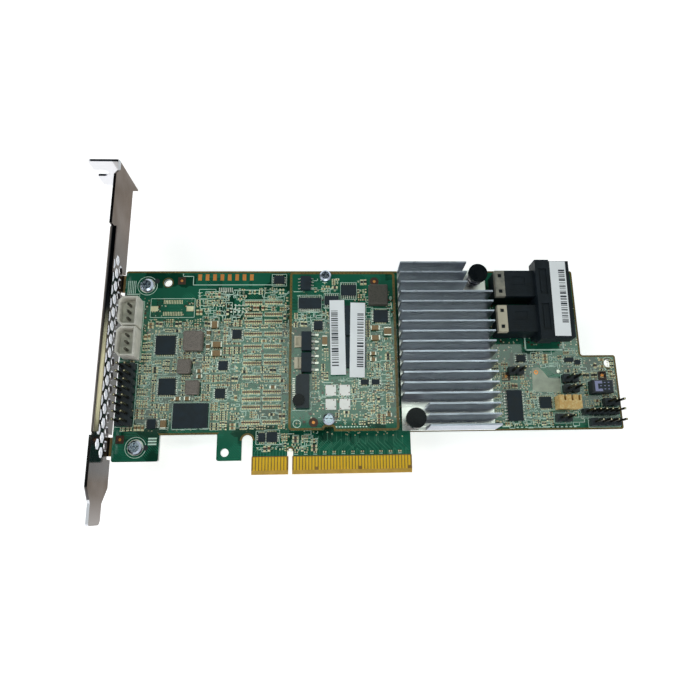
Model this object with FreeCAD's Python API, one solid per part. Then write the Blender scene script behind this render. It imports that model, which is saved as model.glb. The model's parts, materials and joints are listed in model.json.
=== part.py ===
"""Storage controller card: a low-profile board on a full-height vented bracket.

The origin is at the middle of the key notch, on the lower end of the edge connector and on the
component face of the board. +X runs along the board away from the bracket, +Y from the edge connector
to the top edge, and +Z out of the component face. All sizes are in millimetres.
"""
import FreeCAD, Part
import math
import os

V = FreeCAD.Vector
UP = V(0, 0, 1)

# --- main board --------------------------------------------------------------------------------
BOARD_THICKNESS = 1.57
BOARD_REACH = 56.65            # key notch to the bracket end of the board
BOARD_TOP = 68.9               # connector end to the top edge
BOARD_LOWER = 12.9             # connector end to the long lower edge
BOARD_CORNER = 0.8             # radius of the outline's corners
TONGUE_REACH = 12.0            # the far tongue beyond the port step
TONGUE_HEIGHT = 25.3           # the far tongue above the long lower edge
BRACKET_TAB_WIDTH = 14.75      # board tab that carries the lower bracket screw
BRACKET_TAB_DROP = 8.25        # the same tab below the long lower edge

# --- edge connector ----------------------------------------------------------------------------
KEY_WIDTH = 1.9
KEY_DEPTH = 8.1
CONTACT_PITCH = 1.0
CONTACT_WIDTH = 0.7
CONTACT_LENGTH = 4.2
CONTACT_THICKNESS = 0.05
CONTACT_SHORTENED = 1.0        # the presence contacts start this much later
SHORT_FRONT_CONTACTS = (18, 32, 48)
SHORT_BACK_CONTACTS = (0,)
FIRST_CONTACT = 1.5            # key middle to the first contact on either side
SHORT_SIDE_CONTACTS = 11
LONG_SIDE_CONTACTS = 38
CONTACT_MARGIN = 0.65          # last contact's middle to the connector's end
BEVEL_RUN = 1.3
BEVEL_DEPTH = 0.4
HOOK_SLOT_WIDTH = 3.45         # slot between the connector and the retention hook
HOOK_SLOT_ROOM = 0.3           # the slot's round end below the long lower edge
HOOK_WIDTH = 8.0
HOOK_DROP = 8.4                # the hook below the long lower edge
HOOK_HOLE = 2.6
HOOK_HOLE_MARGIN = 2.6         # hole middle to the hook's two outer edges
TOOLING_HOLE = 2.7
FAR_HOLE = (2.8, 2.85)         # far hole's middle in from the tongue's end and upper edge
NEAR_HOLE = (14.3, 4.2)        # near hole's middle in from the bracket end and the top edge

# --- bracket -----------------------------------------------------------------------------------
SHEET = 0.88
BRACKET_GAP = 1.5              # board end to the bracket's inner face
BRACKET_WIDTH = 18.42
BRACKET_REAR = 3.92            # bracket's rear edge behind the component face
BRACKET_TOP = 105.7            # connector end to the upper face of the screw tab
BRACKET_LENGTH = 120.02
BEND = 0.6                     # inner bend radius
NECK_FRONT = 3.5               # the front edge steps back under the screw tab
NECK_HEIGHT = 7.3              # the step's start below the top
NECK_SLOPE = 3.4
EAR_WIDTH = 6.1                # the top widens backwards over the last few millimetres
EAR_HEIGHT = 1.4
EAR_SLOPE = 3.1
EAR_CORNER = 0.8
TAB_REACH = 10.5               # screw tab beyond the bracket's outer face
TAB_TAPER = 3.7                # rear corner taken off the screw tab
TAB_ROOT = 2.6                 # full width of the screw tab beside the bend
SCREW_NOTCH = 4.4
SCREW_NOTCH_DEPTH = 4.7
SCREW_NOTCH_Z = 2.8
BLADE_WIDTH = 10.2
BLADE_Z = 5.7                  # middle of the blade
BLADE_LENGTH = 6.4             # parallel part of the blade
BLADE_TAPER = 4.7
BLADE_TIP_RADIUS = 1.8
LIP_START = 12.9
LIP_END = 79.5
LIP_REACH = 2.45               # stiffening lip, from the bracket's outer face
RELIEF_WIDTH = 1.0             # relief slots beside each bend
VENT_SIZE = 3.15               # across the flats
VENT_PITCH = 4.53
VENT_ROW_PITCH = 3.75
VENT_START = 7.3
VENT_COUNT = 15                # middle row; the outer rows have one fewer
VENT_Z = 5.5
INNER_EAR_WIDTH = 6.0          # ears under the board that take the bracket screws
INNER_EAR_LENGTH = 12.9
LOWER_EAR_Y = 9.6              # middle of the lower ear
UPPER_EAR_DROP = 4.1           # middle of the upper ear below the board's top edge
EAR_SCREW_X = 7.4              # screw middle from the board's bracket end
LOWER_SCREW_Y = 9.1
UPPER_SCREW_DROP = 5.3

# --- screws ------------------------------------------------------------------------------------
SCREW_CLEARANCE = 0.05         # screw shank to its threaded hole
BRACKET_SCREW_SHANK = 2.5
BRACKET_SCREW_HOLE = 3.0
BRACKET_SCREW_HEAD = 4.4
BRACKET_SCREW_HEAD_HEIGHT = 1.7
BRACKET_SCREW_END = 0.6        # screw end below the ear
MODULE_SCREW_SHANK = 2.0
MODULE_SCREW_HOLE = 2.4
MODULE_SCREW_HEAD = 3.8
MODULE_SCREW_HEAD_HEIGHT = 1.5

# --- cache module ------------------------------------------------------------------------------
MODULE_LEFT = -0.35            # module's edge beside the key notch
MODULE_WIDTH = 35.25
MODULE_THICKNESS = 1.6
MODULE_UNDERCUT = 0.15         # module below the board's long lower edge
MODULE_TOP_ROOM = 2.7          # module's top edge below the board's top edge
MODULE_CORNER = 1.2
STANDOFF_HEIGHT = 5.0
STANDOFF_SIZE = 4.5            # across the flats
STANDOFF_DEPTH = 3.5           # threaded depth
NOTCH_X = 12.85                # middle of the screw notch from the module's left edge
NOTCH_WIDTH = 3.2
NOTCH_DEPTH = 1.5
NOTCH_CORNER = 0.9
MODULE_STEP = 0.4              # the lower edge is this much higher beside the notch, on the key side
LOWER_STANDOFF = (12.85, 3.75)
UPPER_STANDOFF = (11.85, 51.85)
MEZZANINE_X = 27.5
MEZZANINE_WIDTH = 5.0
MEZZANINE_LENGTH = 38.0
MEZZANINE_Y = 7.5
MEZZANINE_SPLIT = 2.4          # height of the receptacle on the main board
LABEL_THICKNESS = 0.12
MODULE_LABEL = (4.9, 25.2)
MODULE_LABEL_OFFSETS = [(-3.4, -0.3), (3.1, -1.2)]      # from the middle of the memory chips
MODULE_LABEL_TURNS = (0.8, -1.4)                        # degrees
MEMORY_HEIGHT = 1.1
MEMORY_WIDTH = 11.4
MEMORY_LENGTH = 10.2
MEMORY_GAP = 0.5

# --- heatsink and controller -------------------------------------------------------------------
HEATSINK_GAP = 1.3             # module to heatsink
HEATSINK_LENGTH = 30.4
HEATSINK_INSET = 0.1           # base above the board's long lower edge
HEATSINK_TOP_ROOM = 1.1
BASE_THICKNESS = 1.7
FIN_HEIGHT = 9.6
FIN_COUNT = 17
FIN_TIP = 0.55
FIN_ROOT = 1.1
CLEARED_FINS = 3               # fins cut back beside each push pin
LOWER_CUTBACK = 7.7
UPPER_CUTBACK = 8.2
PACKAGE_SIZE = 27.0
PACKAGE_HEIGHT = 1.2
DIE_SIZE = 13.0
DIE_HEIGHT = 0.7
PAD_THICKNESS = 0.2
PIN_X = 3.6                    # push pin from the heatsink's near corner
PIN_Y = 3.0
PIN_CAP = 6.4
PIN_CAP_HEIGHT = 1.2
PIN_RISE = 7.2                 # cap's underside above the base
PIN_SHANK = 2.9
PIN_HOLE = 3.2
PIN_BARB = 4.0
PIN_BARB_LENGTH = 2.6
PIN_SLOT = 0.8
SPRING_SIZE = 4.6              # coil's middle diameter
SPRING_WIRE = 0.5
SPRING_TURNS = 3.0
SPRING_STEPS = 8               # straight stretches in each turn
SPRING_SIDES = 4               # sides of the wire's section

# --- internal ports ----------------------------------------------------------------------------
PORT_GAP = 2.2                 # heatsink to the rear clips
PORT_PITCH = 12.25
PORT_BODY_WIDTH = 9.1
PORT_BODY_HEIGHT = 9.2
CLIP_LENGTH = 3.2
CLIP_DROP = 2.2                # depth of the clips' side walls
CLIP_SHEET = 0.35
CLIP_WINDOW = 1.25
CLIP_WINDOW_PITCH = 5.5
PORT_BODY_LENGTH = 10.1
SHROUD_HEIGHT = 11.4
SHROUD_WIDTH = 27.6
WING_LENGTH = 4.8
BAY_LENGTH = 11.55             # wings' rear face to the mating face
BAY_WIDTH = 10.4
BAY_HEIGHT = 7.4
BAY_FLOOR = 2.0
BAY_DEPTH = 10.4
SHROUD_STEP = 0.5              # the mating end is this much narrower on each side
SKIRT_INSET = 1.8
SKIRT_HEIGHT = 5.0
LATCH_WINDOW_LENGTH = 2.6
LATCH_WINDOW_WIDTH = 9.0
LATCH_WINDOW_X = 1.1           # window from the wings' rear face
MARK_LENGTH = 4.2              # plain sunk panel on each rear body
MARK_WIDTH = 2.9
MARK_DEPTH = 0.25
MARK_X = 2.7
INSERT_LENGTH = 5.2
INSERT_WIDTH = 9.0
INSERT_HEIGHT = 3.8
INSERT_Z = 3.6
INSERT_SLOT = 1.3
INSERT_SLOT_DEPTH = 4.2
PORT_SETBACK = 5.35            # mating face to the board's port step
PORT_LABEL = (26.0, 5.35)

# --- headers -----------------------------------------------------------------------------------
PIN_SIZE = 0.64
PIN_TOP = 9.0                  # pin tips above the board
HEADER_PITCH = 2.54
HEADER_BASE = 2.5
NOTCH_SHARE = 0.2              # notch between two cells, as a share of the pin pitch
HEADER_COLUMNS = 2
HEADER_ROWS = 8
HEADER_X = 3.3                 # middle of the 2-column header from the bracket end of the board
HEADER_Y = 13.2                # its middle above the long lower edge
FINE_PITCH = 2.0
TAIL_LENGTH = 1.3              # pin tails below the board
WIRE_HEADER_X = 3.45
WIRE_HEADER_Y = 34.85          # middle of the pair above the long lower edge
WIRE_HEADER_SPACING = 10.3
WIRE_HEADER_SIZE = (6.1, 9.8)
WIRE_HEADER_HEIGHT = 7.0
WIRE_HEADER_WALL = 0.55
WIRE_HEADER_FLOOR = 3.2
WIRE_HEADER_CORNER = 1.3       # cut off the two corners at the board's edge
WIRE_HEADER_PITCH = 2.4
WIRE_HEADER_PINS = 3
WIRE_PIN_HEIGHT = 6.6
CREAM_SIZE = (7.5, 4.4)
CREAM_HEIGHT = 5.0
SOCKET_SIZE = (7.0, 4.3)
SOCKET_HEIGHT = 4.0

# --- surface-mount parts -----------------------------------------------------------------------
LEAD_THICKNESS = 0.15
LEAD_REACH = 0.9
LEAD_WIDTH = 0.3
FINE_LEAD_PITCH = 0.65
WIDE_LEAD_PITCH = 1.15
INDUCTOR_CHAMFER = 0.35
CAP_END = 0.35                 # length of a ceramic capacitor's metal end
POWER_SIZE = (3.3, 6.3, 2.0)
POWER_TAB = (2.25, 3.7, 1.0)
POWER_TAB_RIM = 0.45
POWER_LEAD_PITCH = 2.29
POWER_LEAD_WIDTH = 0.7
POWER_LEAD_REACH = 2.3
BLOCK_SIZE = (4.2, 10.8)
BLOCK_HEIGHT = 2.4
BLOCK_CORNER = (1.2, 0.7)      # the corner taken off
BLOCK_BOSS = (1.2, 2.35)       # boss middle from the lower left corner
BLOCK_BOSS_SIZE = 3.2

# --- places worked out from the sizes above ----------------------------------------------------
board_left = -BOARD_REACH
field_height = BOARD_TOP - BOARD_LOWER
module_bottom = BOARD_LOWER - MODULE_UNDERCUT
module_height = BOARD_TOP - MODULE_TOP_ROOM - module_bottom
module_floor = STANDOFF_HEIGHT
module_face = STANDOFF_HEIGHT + MODULE_THICKNESS
heatsink_left = MODULE_LEFT + MODULE_WIDTH + HEATSINK_GAP
heatsink_right = heatsink_left + HEATSINK_LENGTH
heatsink_bottom = BOARD_LOWER + HEATSINK_INSET
heatsink_top = BOARD_TOP - HEATSINK_TOP_ROOM
base_floor = PACKAGE_HEIGHT + DIE_HEIGHT + PAD_THICKNESS
base_face = base_floor + BASE_THICKNESS
clip_rear = heatsink_right + PORT_GAP
body_front = clip_rear + CLIP_LENGTH + PORT_BODY_LENGTH
mating_face = body_front + BAY_LENGTH
shroud_bottom = BOARD_TOP - SHROUD_WIDTH
shroud_middle = BOARD_TOP - SHROUD_WIDTH / 2
step_x = mating_face + PORT_SETBACK
board_right = step_x + TONGUE_REACH
tongue_top = BOARD_LOWER + TONGUE_HEIGHT
connector_left = -(FIRST_CONTACT + (SHORT_SIDE_CONTACTS - 1) * CONTACT_PITCH + CONTACT_MARGIN)
connector_right = FIRST_CONTACT + (LONG_SIDE_CONTACTS - 1) * CONTACT_PITCH + CONTACT_MARGIN
hook_right = connector_left - HOOK_SLOT_WIDTH
hook_left = hook_right - HOOK_WIDTH
hook_end = BOARD_LOWER - HOOK_DROP
bracket_inner = board_left - BRACKET_GAP
bracket_outer = bracket_inner - SHEET
bracket_front = BRACKET_WIDTH - BRACKET_REAR
ear_face = -BOARD_THICKNESS
ear_screws = [(board_left + EAR_SCREW_X, LOWER_SCREW_Y),
              (board_left + EAR_SCREW_X, BOARD_TOP - UPPER_SCREW_DROP)]
push_pins = [(heatsink_left + PIN_X, heatsink_bottom + PIN_Y),
             (heatsink_right - PIN_X - 0.6, heatsink_top - PIN_Y - 0.9)]
port_rows = [shroud_middle - PORT_PITCH / 2, shroud_middle + PORT_PITCH / 2]


class Field:
    """A part of the card with a layout grid that stretches with it."""

    def __init__(self, corner, size, grid, face):
        self.corner = corner
        self.scale = (size[0] / grid[0], size[1] / grid[1])
        self.face = face

    def place(self, x, y):
        """The card position of a grid point."""
        return V(self.corner[0] + x * self.scale[0], self.corner[1] + y * self.scale[1], self.face)


LEFT_GRID = (56.3, 56.0)
MODULE_GRID = (35.25, 53.45)
END_GRID = (44.4, 56.0)
left_field = Field((board_left, BOARD_LOWER), (MODULE_LEFT - board_left, field_height), LEFT_GRID, 0.0)
module_field = Field((MODULE_LEFT, module_bottom), (MODULE_WIDTH, module_height), MODULE_GRID, module_face)
end_field = Field((heatsink_right, BOARD_LOWER), (board_right - heatsink_right, field_height), END_GRID, 0.0)


# --- shape helpers -----------------------------------------------------------------------------
def block(x0, y0, z0, x1, y1, z1):
    """A box between two opposite corners."""
    return Part.makeBox(x1 - x0, y1 - y0, z1 - z0, V(x0, y0, z0))


def seated_block(middle, size, height):
    """A box that stands on the point given as the middle of its underside."""
    return block(middle.x - size[0] / 2, middle.y - size[1] / 2, middle.z,
                 middle.x + size[0] / 2, middle.y + size[1] / 2, middle.z + height)


def outline(corners):
    """A closed flat wire through corners (x, y, radius), each rounded by its own radius."""
    bends = []
    count = len(corners)
    for i, (x, y, radius) in enumerate(corners):
        here = V(x, y, 0)
        back = (V(*corners[i - 1][:2], 0) - here).normalize()
        ahead = (V(*corners[(i + 1) % count][:2], 0) - here).normalize()
        half = back.getAngle(ahead) / 2
        reach = radius / math.tan(half)
        inward = (back + ahead).normalize()
        crown = here + inward * (radius / math.sin(half) - radius)
        bends.append((here + back * reach, crown, here + ahead * reach, radius))
    edges = []
    for i, (start, crown, end, radius) in enumerate(bends):
        if radius > 0:
            edges.append(Part.Arc(start, crown, end).toShape())
        following = bends[(i + 1) % count][0]
        if end.distanceToPoint(following) > 1e-6:
            edges.append(Part.LineSegment(end, following).toShape())
    return Part.Wire(edges)


def prism(corners, start, height):
    """The outline extruded upwards from the height given as start."""
    face = Part.Face(outline(corners))
    face.translate(V(0, 0, start))
    return face.extrude(UP * height)


def sheet_in_x(corners, x0, x1):
    """An outline given in (y, z), extruded along X."""
    solid = prism(corners, 0, x1 - x0)
    solid.Placement = FreeCAD.Placement(V(x0, 0, 0), FreeCAD.Rotation(V(1, 1, 1), 120))
    return solid


def sheet_in_y(corners, y0, y1):
    """An outline given in (x, z), extruded along Y."""
    solid = prism(corners, 0, y1 - y0)
    solid.Placement = FreeCAD.Placement(V(0, y1, 0), FreeCAD.Rotation(V(1, 0, 0), 90))
    return solid


def round_bar(x, y, z0, z1, diameter):
    """An upright cylinder."""
    return Part.makeCylinder(diameter / 2, z1 - z0, V(x, y, z0))


def turned(profile, x, y):
    """A solid of revolution about an upright axis; the profile is (radius, z) points."""
    points = [V(radius, 0, z) for radius, z in profile]
    face = Part.Face(Part.makePolygon(points + points[:1]))
    solid = face.revolve(V(0, 0, 0), UP, 360)
    solid.translate(V(x, y, 0))
    return solid


def six_corners(x, y, across_flats, turn):
    """The corners of a hexagon round a point."""
    radius = across_flats / math.sqrt(3)
    corners = []
    for i in range(6):
        angle = math.radians(60 * i + turn)
        corners.append((x + radius * math.cos(angle), y + radius * math.sin(angle), 0))
    return corners


# --- main board --------------------------------------------------------------------------------
def board_outline():
    key = KEY_WIDTH / 2
    slot_round = HOOK_SLOT_WIDTH / 2
    slot_top = BOARD_LOWER - HOOK_SLOT_ROOM
    tab_end = BOARD_LOWER - BRACKET_TAB_DROP
    tab_right = board_left + BRACKET_TAB_WIDTH
    return [
        (board_left, tab_end, BOARD_CORNER), (tab_right, tab_end, BOARD_CORNER),
        (tab_right, BOARD_LOWER, 0), (hook_left, BOARD_LOWER, 0),
        (hook_left, hook_end, BOARD_CORNER), (hook_right, hook_end, 0),
        (hook_right, slot_top, slot_round), (connector_left, slot_top, slot_round),
        (connector_left, 0, 0), (-key, 0, 0),
        (-key, KEY_DEPTH, key), (key, KEY_DEPTH, key),
        (key, 0, 0), (connector_right, 0, 0),
        (connector_right, BOARD_LOWER, 0), (board_right, BOARD_LOWER, BOARD_CORNER),
        (board_right, tongue_top, BOARD_CORNER), (step_x, tongue_top, BOARD_CORNER),
        (step_x, BOARD_TOP, BOARD_CORNER), (board_left, BOARD_TOP, BOARD_CORNER),
    ]


def board_holes():
    """Every open hole through the main board as (x, y, diameter)."""
    holes = [(x, y, BRACKET_SCREW_HOLE) for x, y in ear_screws]
    holes += [(x, y, PIN_HOLE) for x, y in push_pins]
    holes.append((hook_left + HOOK_HOLE_MARGIN, hook_end + HOOK_HOLE_MARGIN, HOOK_HOLE))
    holes.append((board_right - FAR_HOLE[0], tongue_top - FAR_HOLE[1], TOOLING_HOLE))
    holes.append((board_left + NEAR_HOLE[0], BOARD_TOP - NEAR_HOLE[1], TOOLING_HOLE))
    return holes


def main_board():
    board = prism(board_outline(), -BOARD_THICKNESS, BOARD_THICKNESS)
    for x, y, diameter in board_holes():
        board = board.cut(round_bar(x, y, -BOARD_THICKNESS, 0, diameter))
    for face, depth in ((0, -BEVEL_DEPTH), (-BOARD_THICKNESS, BEVEL_DEPTH)):
        wedge = [(0, face, 0), (BEVEL_RUN, face, 0), (0, face + depth, 0)]
        board = board.cut(sheet_in_x(wedge, connector_left, connector_right))
    return [board]


def edge_contacts(z0, shortened):
    """Gold contacts on one face; the numbers in shortened start further from the end."""
    left = [-(FIRST_CONTACT + i * CONTACT_PITCH) for i in range(SHORT_SIDE_CONTACTS)]
    right = [FIRST_CONTACT + i * CONTACT_PITCH for i in range(LONG_SIDE_CONTACTS)]
    contacts = []
    for number, x in enumerate(sorted(left) + right):
        start = BEVEL_RUN
        if number in shortened:
            start += CONTACT_SHORTENED
        contacts.append(block(x - CONTACT_WIDTH / 2, start, z0,
                              x + CONTACT_WIDTH / 2, BEVEL_RUN + CONTACT_LENGTH, z0 + CONTACT_THICKNESS))
    return contacts


# --- bracket -----------------------------------------------------------------------------------
def bracket_silhouette():
    """The bracket seen along X, as (y, z) corners."""
    tip = BRACKET_TOP - BRACKET_LENGTH
    blade_rear = BLADE_Z - BLADE_WIDTH / 2
    blade_front = BLADE_Z + BLADE_WIDTH / 2
    blade_start = tip + BLADE_LENGTH
    neck = bracket_front - NECK_FRONT
    neck_start = BRACKET_TOP - NECK_HEIGHT
    ear_rear = -BRACKET_REAR - EAR_WIDTH
    ear_start = BRACKET_TOP - EAR_HEIGHT
    return [
        (tip, blade_rear, BLADE_TIP_RADIUS), (tip, blade_front, BLADE_TIP_RADIUS / 2),
        (blade_start, blade_front, 0), (blade_start + BLADE_TAPER, bracket_front, 0),
        (neck_start, bracket_front, 0), (neck_start + NECK_SLOPE, neck, 0),
        (BRACKET_TOP, neck, 0), (BRACKET_TOP, ear_rear, 0),
        (ear_start, ear_rear, EAR_CORNER), (ear_start - EAR_SLOPE, -BRACKET_REAR, 0),
        (blade_start + BLADE_TAPER, -BRACKET_REAR, 0), (blade_start, blade_rear, 0),
    ]


def fold(along, across, bend, thickness):
    """An L-shaped sheet section, along the first axis and then across it, as corners (a, b, radius).

    The outer corner is at the origin; 'along' runs to +a and 'across' runs to +b.
    """
    return [(0, 0, bend + thickness), (along, 0, 0), (along, thickness, 0),
            (thickness, thickness, bend), (thickness, across, 0), (0, across, 0)]


def screw_tab_cutter():
    """What is taken off the screw tab: its tapered rear corner, rounded ends and screw notch."""
    tab_end = bracket_outer - TAB_REACH
    front = bracket_front - NECK_FRONT
    rear = -BRACKET_REAR - EAR_WIDTH
    root = bracket_outer - TAB_ROOT
    half = SCREW_NOTCH / 2
    notch_end = tab_end + SCREW_NOTCH_DEPTH
    kept = [
        (bracket_outer, rear, 0), (root, rear, 0), (root - TAB_TAPER, rear + TAB_TAPER, 0),
        (tab_end, rear + TAB_TAPER, 1.0),
        (tab_end, SCREW_NOTCH_Z - half, 0.4), (notch_end, SCREW_NOTCH_Z - half, half - 0.01),
        (notch_end, SCREW_NOTCH_Z + half, half - 0.01), (tab_end, SCREW_NOTCH_Z + half, 0.4),
        (tab_end, front, 1.0), (bracket_outer, front, 0),
    ]
    y0 = BRACKET_TOP - 2 * SHEET
    whole = block(tab_end - 1, y0, rear - 1, bracket_outer - SHEET - BEND, BRACKET_TOP + 1, front + 1)
    return whole.cut(sheet_in_y(kept, y0, BRACKET_TOP + 1))


def vent_cutters():
    """Three staggered rows of six-sided holes."""
    cutters = []
    for row in (-1, 0, 1):
        outer_row = abs(row)
        for i in range(VENT_COUNT - outer_row):
            y = VENT_START + (i + outer_row / 2) * VENT_PITCH
            z = VENT_Z + row * VENT_ROW_PITCH
            corners = six_corners(y, z, VENT_SIZE, 30)
            cutters.append(sheet_in_x(corners, bracket_outer - 1, bracket_inner + 1))
    return cutters


def inner_ear(middle):
    """An ear folded from the bracket's rear edge to lie under the board."""
    section = fold(SHEET + INNER_EAR_LENGTH, SHEET + BEND + 0.5, BEND, SHEET)
    corners = [(bracket_outer + a, ear_face - SHEET + b, radius) for a, b, radius in section]
    return sheet_in_y(corners, middle - INNER_EAR_WIDTH / 2, middle + INNER_EAR_WIDTH / 2)


def stiffening_lip():
    """The lip folded inwards along the front edge."""
    section = fold(LIP_REACH, SHEET + BEND + 0.5, BEND, SHEET)
    corners = [(bracket_outer + a, bracket_front - b, radius) for a, b, radius in section]
    return sheet_in_y(corners, LIP_START, LIP_END)


def bracket():
    ear_rear = -BRACKET_REAR - EAR_WIDTH
    section = fold(BRACKET_LENGTH + 1, TAB_REACH + SHEET, BEND, SHEET)
    corners = [(bracket_inner - b, BRACKET_TOP - a, radius) for a, b, radius in section]
    sheet = prism(corners, ear_rear, bracket_front - ear_rear)
    silhouette = sheet_in_x(bracket_silhouette(), bracket_outer - TAB_REACH - 1, bracket_inner + 1)
    sheet = sheet.common(silhouette).cut(screw_tab_cutter())
    fold_depth = SHEET + BEND + 0.5
    ears = (LOWER_EAR_Y, BOARD_TOP - UPPER_EAR_DROP)
    for middle in ears:
        half = INNER_EAR_WIDTH / 2 + RELIEF_WIDTH
        sheet = sheet.cut(block(bracket_outer - 1, middle - half, -BRACKET_REAR - 1,
                                bracket_inner + 1, middle + half, ear_face - SHEET + fold_depth))
    sheet = sheet.cut(block(bracket_outer - 1, LIP_START - RELIEF_WIDTH, bracket_front - fold_depth,
                            bracket_inner + 1, LIP_END + RELIEF_WIDTH, bracket_front + 1))
    sheet = sheet.fuse([inner_ear(middle) for middle in ears] + [stiffening_lip()])
    sheet = sheet.cut(vent_cutters())
    for x, y in ear_screws:
        hole = BRACKET_SCREW_SHANK + 2 * SCREW_CLEARANCE
        sheet = sheet.cut(round_bar(x, y, ear_face - 2 * SHEET, ear_face + 1, hole))
    return [sheet.removeSplitter()]


# --- screws ------------------------------------------------------------------------------------
def pan_screw(x, y, seat, end, shank, head, head_height):
    """A cross-recessed pan-head screw, seated at the height given and ending below it."""
    crown = head_height * 0.35
    profile = [(0, end), (shank / 2, end), (shank / 2, seat),
               (head / 2, seat), (head / 2, seat + head_height - crown),
               (head / 2 - crown, seat + head_height), (0, seat + head_height)]
    screw = turned(profile, x, y)
    arm = head * 0.3
    width = head * 0.13
    floor = seat + head_height * 0.4
    top = seat + 2 * head_height
    for reach_x, reach_y in ((arm, width / 2), (width / 2, arm)):
        screw = screw.cut(block(x - reach_x, y - reach_y, floor, x + reach_x, y + reach_y, top))
    return screw


def bracket_screws():
    end = ear_face - SHEET - BRACKET_SCREW_END
    return [pan_screw(x, y, 0, end, BRACKET_SCREW_SHANK, BRACKET_SCREW_HEAD, BRACKET_SCREW_HEAD_HEIGHT)
            for x, y in ear_screws]


# --- heatsink ----------------------------------------------------------------------------------
def heatsink():
    depth = heatsink_top - heatsink_bottom
    pitch = (depth - FIN_ROOT) / (FIN_COUNT - 1)
    base = block(heatsink_left, heatsink_bottom, base_floor, heatsink_right, heatsink_top, base_face)
    fins = []
    for i in range(FIN_COUNT):
        start = heatsink_left
        end = heatsink_right
        if i < CLEARED_FINS:
            start += LOWER_CUTBACK
        if i >= FIN_COUNT - CLEARED_FINS:
            end -= UPPER_CUTBACK
        middle = heatsink_bottom + FIN_ROOT / 2 + i * pitch
        section = [(middle - FIN_ROOT / 2, base_face, 0), (middle + FIN_ROOT / 2, base_face, 0),
                   (middle + FIN_TIP / 2, base_face + FIN_HEIGHT, 0),
                   (middle - FIN_TIP / 2, base_face + FIN_HEIGHT, 0)]
        fins.append(sheet_in_x(section, start, end))
    sink = base.fuse(fins)
    for x, y in push_pins:
        sink = sink.cut(round_bar(x, y, base_floor, base_face, PIN_HOLE))
    return [sink.removeSplitter()]


def push_pin_set():
    """Spring pins: a flat cap, a round shank and a split flat barb that catches below the board."""
    cap_floor = base_face + PIN_RISE
    cap_top = cap_floor + PIN_CAP_HEIGHT
    barb = -BOARD_THICKNESS
    tip = barb - PIN_BARB_LENGTH
    pins = []
    for x, y in push_pins:
        profile = [(0, barb), (PIN_SHANK / 2, barb), (PIN_SHANK / 2, cap_floor),
                   (PIN_CAP / 2, cap_floor), (PIN_CAP / 2, cap_top), (0, cap_top)]
        arrow = [(x - PIN_SHANK / 3, tip, 0), (x + PIN_SHANK / 3, tip, 0),
                 (x + PIN_BARB / 2, barb, 0), (x - PIN_BARB / 2, barb, 0)]
        legs = sheet_in_y(arrow, y - PIN_SHANK / 3, y + PIN_SHANK / 3)
        slot = block(x - PIN_SLOT / 2, y - PIN_SHANK, tip - 1, x + PIN_SLOT / 2, y + PIN_SHANK, barb)
        pins.append(turned(profile, x, y).fuse(legs.cut(slot)))
    return pins


def push_pin_springs():
    """Open coil springs between the heatsink base and the push pins' caps."""
    start = base_face + SPRING_WIRE / 2
    rise = PIN_RISE - SPRING_WIRE
    count = round(SPRING_TURNS * SPRING_STEPS)
    rings = []
    for i in range(count + 1):
        share = i / count
        turn = math.degrees(share * SPRING_TURNS * 2 * math.pi)
        ring = []
        for side in range(SPRING_SIDES):
            angle = 2 * math.pi * side / SPRING_SIDES
            radius = SPRING_SIZE / 2 + SPRING_WIRE / 2 * math.sin(angle)
            ring.append(V(radius, 0, SPRING_WIRE / 2 * math.cos(angle)))
        section = Part.makePolygon(ring + ring[:1])
        section.rotate(V(0, 0, 0), UP, turn)
        section.translate(V(0, 0, start + share * rise))
        rings.append(section)
    coil = Part.makeLoft(rings, True, True)
    return [coil.translated(V(x, y, 0)) for x, y in push_pins]


def controller_middle():
    return V((heatsink_left + heatsink_right) / 2, (heatsink_bottom + heatsink_top) / 2, 0)


def controller_package():
    return [seated_block(controller_middle(), (PACKAGE_SIZE, PACKAGE_SIZE), PACKAGE_HEIGHT)]


def controller_die():
    return [seated_block(controller_middle() + UP * PACKAGE_HEIGHT, (DIE_SIZE, DIE_SIZE), DIE_HEIGHT)]


def thermal_pad():
    seat = controller_middle() + UP * (PACKAGE_HEIGHT + DIE_HEIGHT)
    return [seated_block(seat, (DIE_SIZE, DIE_SIZE), PAD_THICKNESS)]


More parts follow.
